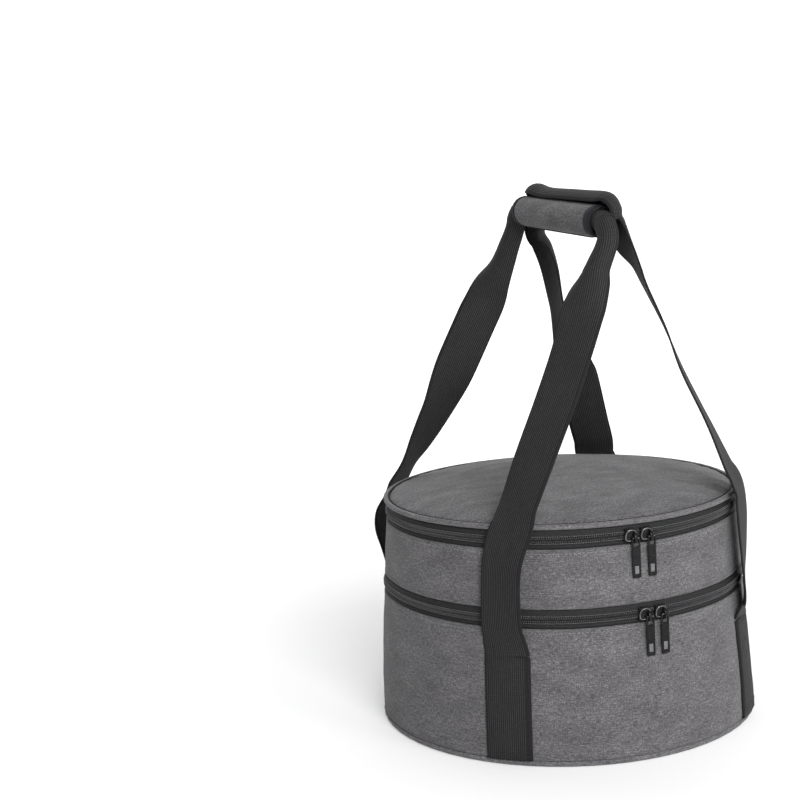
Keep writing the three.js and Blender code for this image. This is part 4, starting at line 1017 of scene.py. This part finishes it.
# each leg below that: sewn flat on the wall
for m, side in ((-1, "left"), (1, "right")):
    for rear, end in ((False, "front"), (True, "rear")):
        ang = m * (180 - STRAP_A if rear else STRAP_A)
        zs = np.linspace(START_Z + 0.3, SEWN_TOP, 12)
        # the sewn end follows the round wall: built straight on it
        aa = np.linspace(-1, 1, 15)
        half = WEB_W / 2
        S = []
        for z in zs:
            r_mid = float(surf(ang, z))
            line = ang + aa * half / r_mid / D
            rs = surf(line, z) + 0.3
            outer = polar(rs + WEB_T - 0.35 * (np.abs(aa) > 0.99), line, z + 0 * line)
            inner = polar(rs - 0.0, line[::-1], z + 0 * line)
            S.append(np.concatenate([outer, inner]))
        S = np.array(S)
        u = np.concatenate([(aa + 1) * half, (aa[::-1] + 1) * half, [0]])
        if m > 0 and not rear:
            u = WEB_W - u
        me = grid(f"strap_sewn_{side}_{end}_w", S, np.repeat(u[None], len(zs), 0), np.repeat(zs[:, None], len(u), 1), close_j=True, cap=True)
        link(f"strap_sewn_webbing_{side}_{end}", me, M_WEB_SEWN, "base", f"strap_sewn_{side}_{end}")
        # box stitch with a cross, near the top of the sewn end, and a bar at its foot
        a_of = lambda x: ang + x / float(wall(60)) / D
        lines = [((-14.5, 56), (14.5, 56)), ((14.5, 56), (14.5, 84)), ((14.5, 84), (-14.5, 84)), ((-14.5, 84), (-14.5, 56)), ((-14.5, 56), (14.5, 84)), ((-14.5, 84), (14.5, 56)),
                 ((-15.5, 9), (15.5, 9)), ((-15.5, 12.5), (15.5, 12.5))]
        Sx, Ex, Ox = [], [], []
        for (x0, z0), (x1, z1) in lines:
            n = int(math.hypot(x1 - x0, z1 - z0) / 2.9)
            for k in range(n):
                f0, f1 = (k + 0.12) / n, (k + 0.88) / n
                pa, pb = a_of(x0 + (x1 - x0) * f0), a_of(x0 + (x1 - x0) * f1)
                za, zb = z0 + (z1 - z0) * f0, z0 + (z1 - z0) * f1
                Sx.append(polar(float(surf(pa, za)) + 0.28 + WEB_T, pa, za))
                Ex.append(polar(float(surf(pb, zb)) + 0.28 + WEB_T, pb, zb))
                Ox.append(polar(1.0, pa, 0))
        link(f"strap_stitch_{side}_{end}", tubes(f"strap_stitch_{side}_{end}", Sx, Ex, Ox, 0.26, 0.1), M_THREAD_DARK, "base")

# ---------------------------------------------------------------- handle wrap
W_IN = GRIP_R + WEB_T / 2 + 0.6


def arc_sheet(name, a0, a1, r0, r1, y0, y1, steps=40, along=60, puff=0.0, ends=0.0, edge=0.0):
    """A curved sheet round the left grip's axis, rounded at its rims, puffed by `puff`."""
    aa = np.linspace(a0, a1, steps)
    yy = np.concatenate([[y0], np.linspace(y0 + 0.8, y1 - 0.8, along), [y1]])
    Y, A = np.meshgrid(yy, aa, indexing="ij")
    end = np.minimum(np.minimum(Y - y0, y1 - Y) / 7.0, 1)
    rim = np.minimum(np.minimum(A - a0, a1 - A) / 22.0, 1)
    full = np.sqrt(np.clip(end, 0, 1)) * np.sqrt(np.clip(rim, 0, 1))
    crease = 0.16 * puff * np.sin(Y * 0.21 + 3 * np.sin(A * 0.03)) * np.sin(A * 0.045 + Y * 0.05)
    shrink = np.where((Y <= y0) | (Y >= y1), 0.25, 0.0) * (r1 - r0)
    Ro = r1 + puff * full + crease * full - shrink
    Ri = r0 + 0 * A + shrink * 0.6
    zc = grip_z(Y)
    outer = np.stack([WRAP_X + Ro * np.cos(A * D), Y, zc + Ro * np.sin(A * D)], -1)
    inner = np.stack([WRAP_X + Ri * np.cos(A * D), Y, zc + Ri * np.sin(A * D)], -1)
    mid = 0.5 * (r0 + r1)
    lip = lambda aend, sgn: np.stack([WRAP_X + mid * np.cos((aend + sgn * 2.0) * D) + 0 * Y[:, :1], Y[:, :1], zc[:, :1] + mid * math.sin((aend + sgn * 2.0) * D)], -1)
    P = np.concatenate([outer, lip(a1, 1), inner[:, ::-1], lip(a0, -1)], axis=1)
    arc = np.concatenate([aa, [a1 + 2], aa[::-1], [a0 - 2], [a0]]) * D * r1
    return grid(name, P, yy, arc, close_j=True, cap=True)


panel = link("wrap_padded_panel", arc_sheet("wrap_padded_panel", 99, 306, W_IN, W_IN + 2.5, WRAP_F + 7.6, WRAP_B - 4.6, puff=0.5), M_FABRIC_WRAP, "strap_left", "handle_wrap_panel")
link("wrap_edge_front", arc_sheet("wrap_edge_front", 99, 306, W_IN - 0.1, W_IN + 3.0, WRAP_F, WRAP_F + 8.0, along=12, puff=0.1), M_BIND, "strap_left", "wrap_binding_front")
link("wrap_edge_rear", arc_sheet("wrap_edge_rear", 99, 306, W_IN - 0.1, W_IN + 3.0, WRAP_B - 5.0, WRAP_B, along=10, puff=0.1), M_BIND, "strap_left", "wrap_binding_rear")
link("wrap_loop_tape", arc_sheet("wrap_loop_tape", 252, 292, W_IN + 2.8, W_IN + 3.8, WRAP_F + 14, WRAP_B - 12, along=30), M_HOOK, "strap_left", "wrap_loop_strip")
flap_a = arc_sheet("flap_a", 37, 97, W_IN + 1.1, W_IN + 3.0, WRAP_F + 7.5, WRAP_B - 4.8, steps=20, puff=0.2)
flap_b = arc_sheet("flap_b", 37, 97, W_IN + 1.0, W_IN + 3.2, WRAP_F + 0.5, WRAP_F + 7.8, steps=20, along=10)
flap_c = arc_sheet("flap_c", 37, 97, W_IN + 1.0, W_IN + 3.2, WRAP_B - 5.0, WRAP_B - 0.5, steps=20, along=8)
flap = link("wrap_padded_flap", join_meshes("wrap_padded_flap", [(flap_a, 0), (flap_b, 1), (flap_c, 1)]), [M_FABRIC, M_BIND], "wrap_flap", "handle_wrap_flap")
link("wrap_hook_tape", arc_sheet("wrap_hook_tape", 42, 92, W_IN + 0.1, W_IN + 0.85, WRAP_F + 12, WRAP_B - 12, steps=14, along=30), M_HOOK, "wrap_flap", "wrap_hook_strip")

# ------------------------------------------------------------ sliders, pulls
CROWN_X = -3.0
PULL_RIGHTS = {"lower": (3.6, 2.6), "upper": (3.4, 3.6)}
PLATE = rounded([(-5.6, -3.3), (-4.2, -5.0), (4.2, -5.0), (5.6, -3.3), (5.2, 0.6), (4.6, 3.4), (2.6, 5.2), (-2.6, 5.2), (-4.6, 3.4), (-5.2, 0.6)], 1.8, 4)
PULL = rounded([(-3.3, 0.6), (-3.5, -2.0), (-3.5, -31.5), (3.5, -31.5), (3.5, -2.0), (3.3, 0.6)], 1.2, 4)
WIN_TOP = rounded([(-2.1, -0.55), (2.1, -0.55), (2.1, -6.6), (-2.1, -6.6)], 0.7, 3)
WIN_LOW = rounded([(-1.8, -22.0), (1.8, -22.0), (1.8, -28.5), (-1.8, -28.5)], 0.6, 3)


def arch_tube(name, y0, reach, z_mid, span, half_w, thick):
    """The crown: a flat strap of metal arching over the plate."""
    pts = []
    for t in np.linspace(0, math.pi, 22):
        c, s = math.cos(t), math.sin(t)
        yo, zo = y0 + reach * s, z_mid + span * c
        yi, zi = y0 + (reach - thick) * s, z_mid + (span - thick) * c
        w = half_w * (0.82 + 0.18 * s)
        pts.append([(-w, yo - 0.25, zo), (-w * 0.8, yo, zo), (w * 0.8, yo, zo), (w, yo - 0.25, zo), (w, yi + 0.1, zi), (w * 0.8, yi, zi), (-w * 0.8, yi, zi), (-w, yi + 0.1, zi)])
    P = np.array(pts)
    return grid(name, P, cumulative(P[:, 0]), np.linspace(0, 10, 9), close_j=True, cap=True)


def rim_tube(name, outline, y_of, rad, ring=8):
    """A round wire following a closed outline in the slider's own (x, z) plane."""
    p = smooth_closed(outline, 5)
    q = np.stack([p[:, 0], y_of(p[:, 0], p[:, 1]), p[:, 1]], -1)
    t = np.roll(q, -1, 0) - np.roll(q, 1, 0)
    t /= np.linalg.norm(t, axis=1, keepdims=True)
    s = np.cross(t, np.array([0.0, 1.0, 0.0]))
    s /= np.linalg.norm(s, axis=1, keepdims=True)
    o = np.cross(s, t)
    ph = np.arange(ring) / ring * 2 * math.pi
    P = q[:, None] + rad * (np.cos(ph)[None, :, None] * s[:, None] + np.sin(ph)[None, :, None] * o[:, None])
    return grid(name, P, np.arange(len(q) + 1.0), np.arange(ring + 1.0), close_i=True, close_j=True)


def smooth_closed(pts, per):
    p = np.asarray(pts, float)
    n = len(p)
    out = []
    for k in range(n):
        a, b, c, d = p[k - 1], p[k], p[(k + 1) % n], p[(k + 2) % n]
        for t in np.arange(per) / per:
            out.append(0.5 * ((2 * b) + (c - a) * t + (2 * a - 5 * b + 4 * c - d) * t * t + (3 * b - a - 3 * c + d) * t ** 3))
    return np.array(out)


def place(me, angle, out, z, right=0.0):
    p = polar(out, angle, z) / 1000 + np.array([math.cos(angle * D), math.sin(angle * D), 0]) * right / 1000
    me.transform(Matrix.Translation(Vector(p.tolist())) @ Matrix.Rotation((angle + 180) * D, 4, "Z"))


def slider(name, body, node, angle, zc):
    back = float(wall(zc)) + 1.4
    top = plate_mesh(name + "_a", PLATE, [], 1.7, 0.55, 3)
    top.transform(Matrix.Translation((0, 0.00105, 0)))
    # a raised collar round a hollow, from which the crown springs; its rim is drawn in the lighter metal, a painted
    # highlight along the collar
    collar = [(-4.3, -2.6), (-3.0, -3.9), (0, -4.2), (3.0, -3.9), (4.3, -2.6), (4.5, 0.0), (3.7, 2.6), (1.9, 4.1), (0, 4.4), (-1.9, 4.1), (-3.7, 2.6), (-4.5, 0.0)]
    rim = rim_tube(name + "_r", collar, lambda x, z: 2.25 + 0.9 * np.clip(1 - (x / 5.2) ** 2, 0, 1) * (z > 0) + 0 * x, 0.52)
    crown = arch_tube(name + "_b", 1.5, 4.1, -2.0, 4.4, 1.3, 1.15)
    crown.transform(Matrix.Translation((CROWN_X / 1000, 0, 0)))
    web = plate_mesh(name + "_w", rounded([(-1.6, -0.3), (1.6, -0.3), (1.6, 0.3), (-1.6, 0.3)], 0.1, 1), [], 4.6, 0.1)
    web.transform(Matrix.Translation((0, -0.0018, 0)))
    back_p = plate_mesh(name + "_c", rounded([(-3.8, -5.2), (3.8, -5.2), (3.8, 0.3), (-3.8, 0.3)], 1.0, 3), [], 0.9, 0.25)
    back_p.transform(Matrix.Translation((0, -0.00415, 0)))
    # the side lips that close round the chain
    lips = []
    for sgn in (-1, 1):
        l = plate_mesh(name + f"_l{sgn}", rounded([(-4.6, -0.45), (4.6, -0.45), (4.6, 0.45), (-4.6, 0.45)], 0.3, 2), [], 1.9, 0.3)
        l.transform(Matrix.Translation((0, 0.0000, sgn * 0.0045)))
        lips.append((l, 0))
    me = join_meshes(name, [(top, 0), (rim, 1), (crown, 0), (web, 0), (back_p, 0)] + lips)
    place(me, angle, back, zc)
    return link(name, me, [M_METAL, M_RIM_HIGHLIGHT], body, node)


def pull(name, body, node, angle, zc, right):
    back = float(wall(zc)) + 1.4
    plate = plate_mesh(name + "_a", PULL, [WIN_TOP, WIN_LOW], 1.15, 0.3, 3)
    # a low raised frame round the grip's face
    face = plate_mesh(name + "_b", rounded([(-2.75, -7.6), (2.75, -7.6), (2.75, -21.2), (-2.75, -21.2)], 0.5, 3), [], 0.5, 0.2, 2)
    face.transform(Matrix.Translation((0, 0.00055, 0)))
    # a plate set in the lower window and a bar round the eye, both in the lighter metal whose colour is a painted
    # reflection
    inlay = plate_mesh(name + "_i", rounded([(-1.72, -22.1), (1.72, -22.1), (1.72, -28.4), (-1.72, -28.4)], 0.5, 3), [], 0.7, 0.15, 2)
    bar = plate_mesh(name + "_e", rounded([(-2.7, 0.35), (2.7, 0.35), (2.7, -0.45), (-2.7, -0.45)], 0.35, 3), [], 0.5, 0.2, 2)
    bar.transform(Matrix.Translation((0, 0.00055, 0)))
    me = join_meshes(name, [(plate, 0), (face, 0), (inlay, 1), (bar, 1)])
    place(me, angle, back + 3.25, zc - 2.0, right)
    return link(name, me, [M_METAL, M_LIGHT_METAL_REFLECTION], body, node)


for zone, zc, angs in (("lower", LZ, (-2.55, 2.55)), ("upper", UZ, (-5.35, -0.35))):
    for side, ang, right in zip(("left", "right"), angs, PULL_RIGHTS[zone]):
        slider(f"{zone}_slider_body_{side}", f"{zone}_slider_{side}", f"{zone}_slider_{side}", ang, zc)
        pull(f"{zone}_pull_tab_{side}", f"{zone}_pull_{side}", f"{zone}_pull_{side}", ang, zc, right)

# --------------------------------------------------------------- floor, light
floor_me = bpy.data.meshes.new("floor")
fp = []
N = 40
prof = [(-6.0, 0.0), (2.2, 0.0)] + [(2.2 + 1.6 * math.sin(t), 1.6 - 1.6 * math.cos(t)) for t in np.linspace(0.08, math.pi / 2, 20)] + [(3.8, 6.0)]
cdir, sdir = (0.35, 0.937), (0.937, -0.35)
vs, fs = [], []
for y, z in prof:
    for x in (-9.0, 9.0):
        vs.append((x * sdir[0] + y * cdir[0], x * sdir[1] + y * cdir[1], z - 0.0002))
for k in range(len(prof) - 1):
    fs.append((2 * k, 2 * k + 1, 2 * k + 3, 2 * k + 2))
floor_me.from_pydata(vs, [], fs)
floor_me.polygons.foreach_set("use_smooth", [True] * len(floor_me.polygons))
floor = bpy.data.objects.new("floor", floor_me)
scene.collection.objects.link(floor)
gf = Mat("floor_white")
gf.set(Base_Color=gf.ramp(gf.noise(gf.coords("Object", (3, 3, 3)), detail=2), [(0.3, (0.66, 0.66, 0.662)), (0.7, (0.68, 0.68, 0.682))]), Roughness=0.7)
gf.b.inputs["Specular IOR Level"].default_value = 0.2
# painted light: the floor material glows, a little near the object and more further from it, so that it reads as a
# white, evenly lit studio sweep
fx, fy, _ = gf.sep(gf.coords("Object", (1, 1, 1)))
away = gf.math("SQRT", gf.math("ADD", gf.math("MULTIPLY", fx, fx), gf.math("MULTIPLY", fy, fy)))
glow = gf.math("ADD", 0.26, gf.math("MULTIPLY", gf.math("MINIMUM", gf.math("MAXIMUM", gf.math("SUBTRACT", away, 0.25), 0.0), 1.5), 0.36))
gf.put(gf.b.inputs["Emission Strength"], glow)
gf.b.inputs["Emission Color"].default_value = (1, 1, 1, 1)
floor_me.materials.append(gf.m)


def area(name, loc, target, size, power, shape="SQUARE"):
    l = bpy.data.lights.new(name, "AREA")
    l.energy = power
    l.size = size
    o = bpy.data.objects.new(name, l)
    scene.collection.objects.link(o)
    o.location = loc
    o.rotation_euler = (Vector(target) - Vector(loc)).to_track_quat("-Z", "Y").to_euler()
    return o


def aim(azimuth, rise, far):
    a, e = azimuth * D, rise * D
    return (far * math.cos(e) * math.sin(a), -far * math.cos(e) * math.cos(a), 0.15 + far * math.sin(e))


area("key", aim(26, 30, 2.5), (0, 0, 0.15), 0.6, 12)
area("front", aim(-8, 28, 2.5), (0, 0, 0.15), 1.1, 62)
area("top", (0.2, 1.3, 2.3), (0, 0, 0.1), 1.8, 9)
# a studio that is brighter on the right than on the left; seen directly it is plain white
world = bpy.data.worlds.new("world")
scene.world = world
world.use_nodes = True
wt = world.node_tree
back = wt.nodes["Background"]
back.inputs[0].default_value = (1, 1, 1, 1)
where = wt.nodes.new("ShaderNodeTexCoord")
side_dot = wt.nodes.new("ShaderNodeVectorMath")
side_dot.operation = "DOT_PRODUCT"
side_dot.inputs[1].default_value = (0.933, -0.357, 0.0)
wt.links.new(where.outputs["Generated"], side_dot.inputs[0])
level = wt.nodes.new("ShaderNodeMath")
level.operation = "MULTIPLY_ADD"
level.inputs[1].default_value = 0.30
level.inputs[2].default_value = 0.40
wt.links.new(side_dot.outputs["Value"], level.inputs[0])
seen = wt.nodes.new("ShaderNodeLightPath")
pick = wt.nodes.new("ShaderNodeMix")
wt.links.new(seen.outputs["Is Camera Ray"], pick.inputs[0])
wt.links.new(level.outputs[0], pick.inputs[2])
pick.inputs[3].default_value = 1.0
wt.links.new(pick.outputs[0], back.inputs[1])
scene.view_settings.view_transform = "Standard"
scene.view_settings.look = "None"
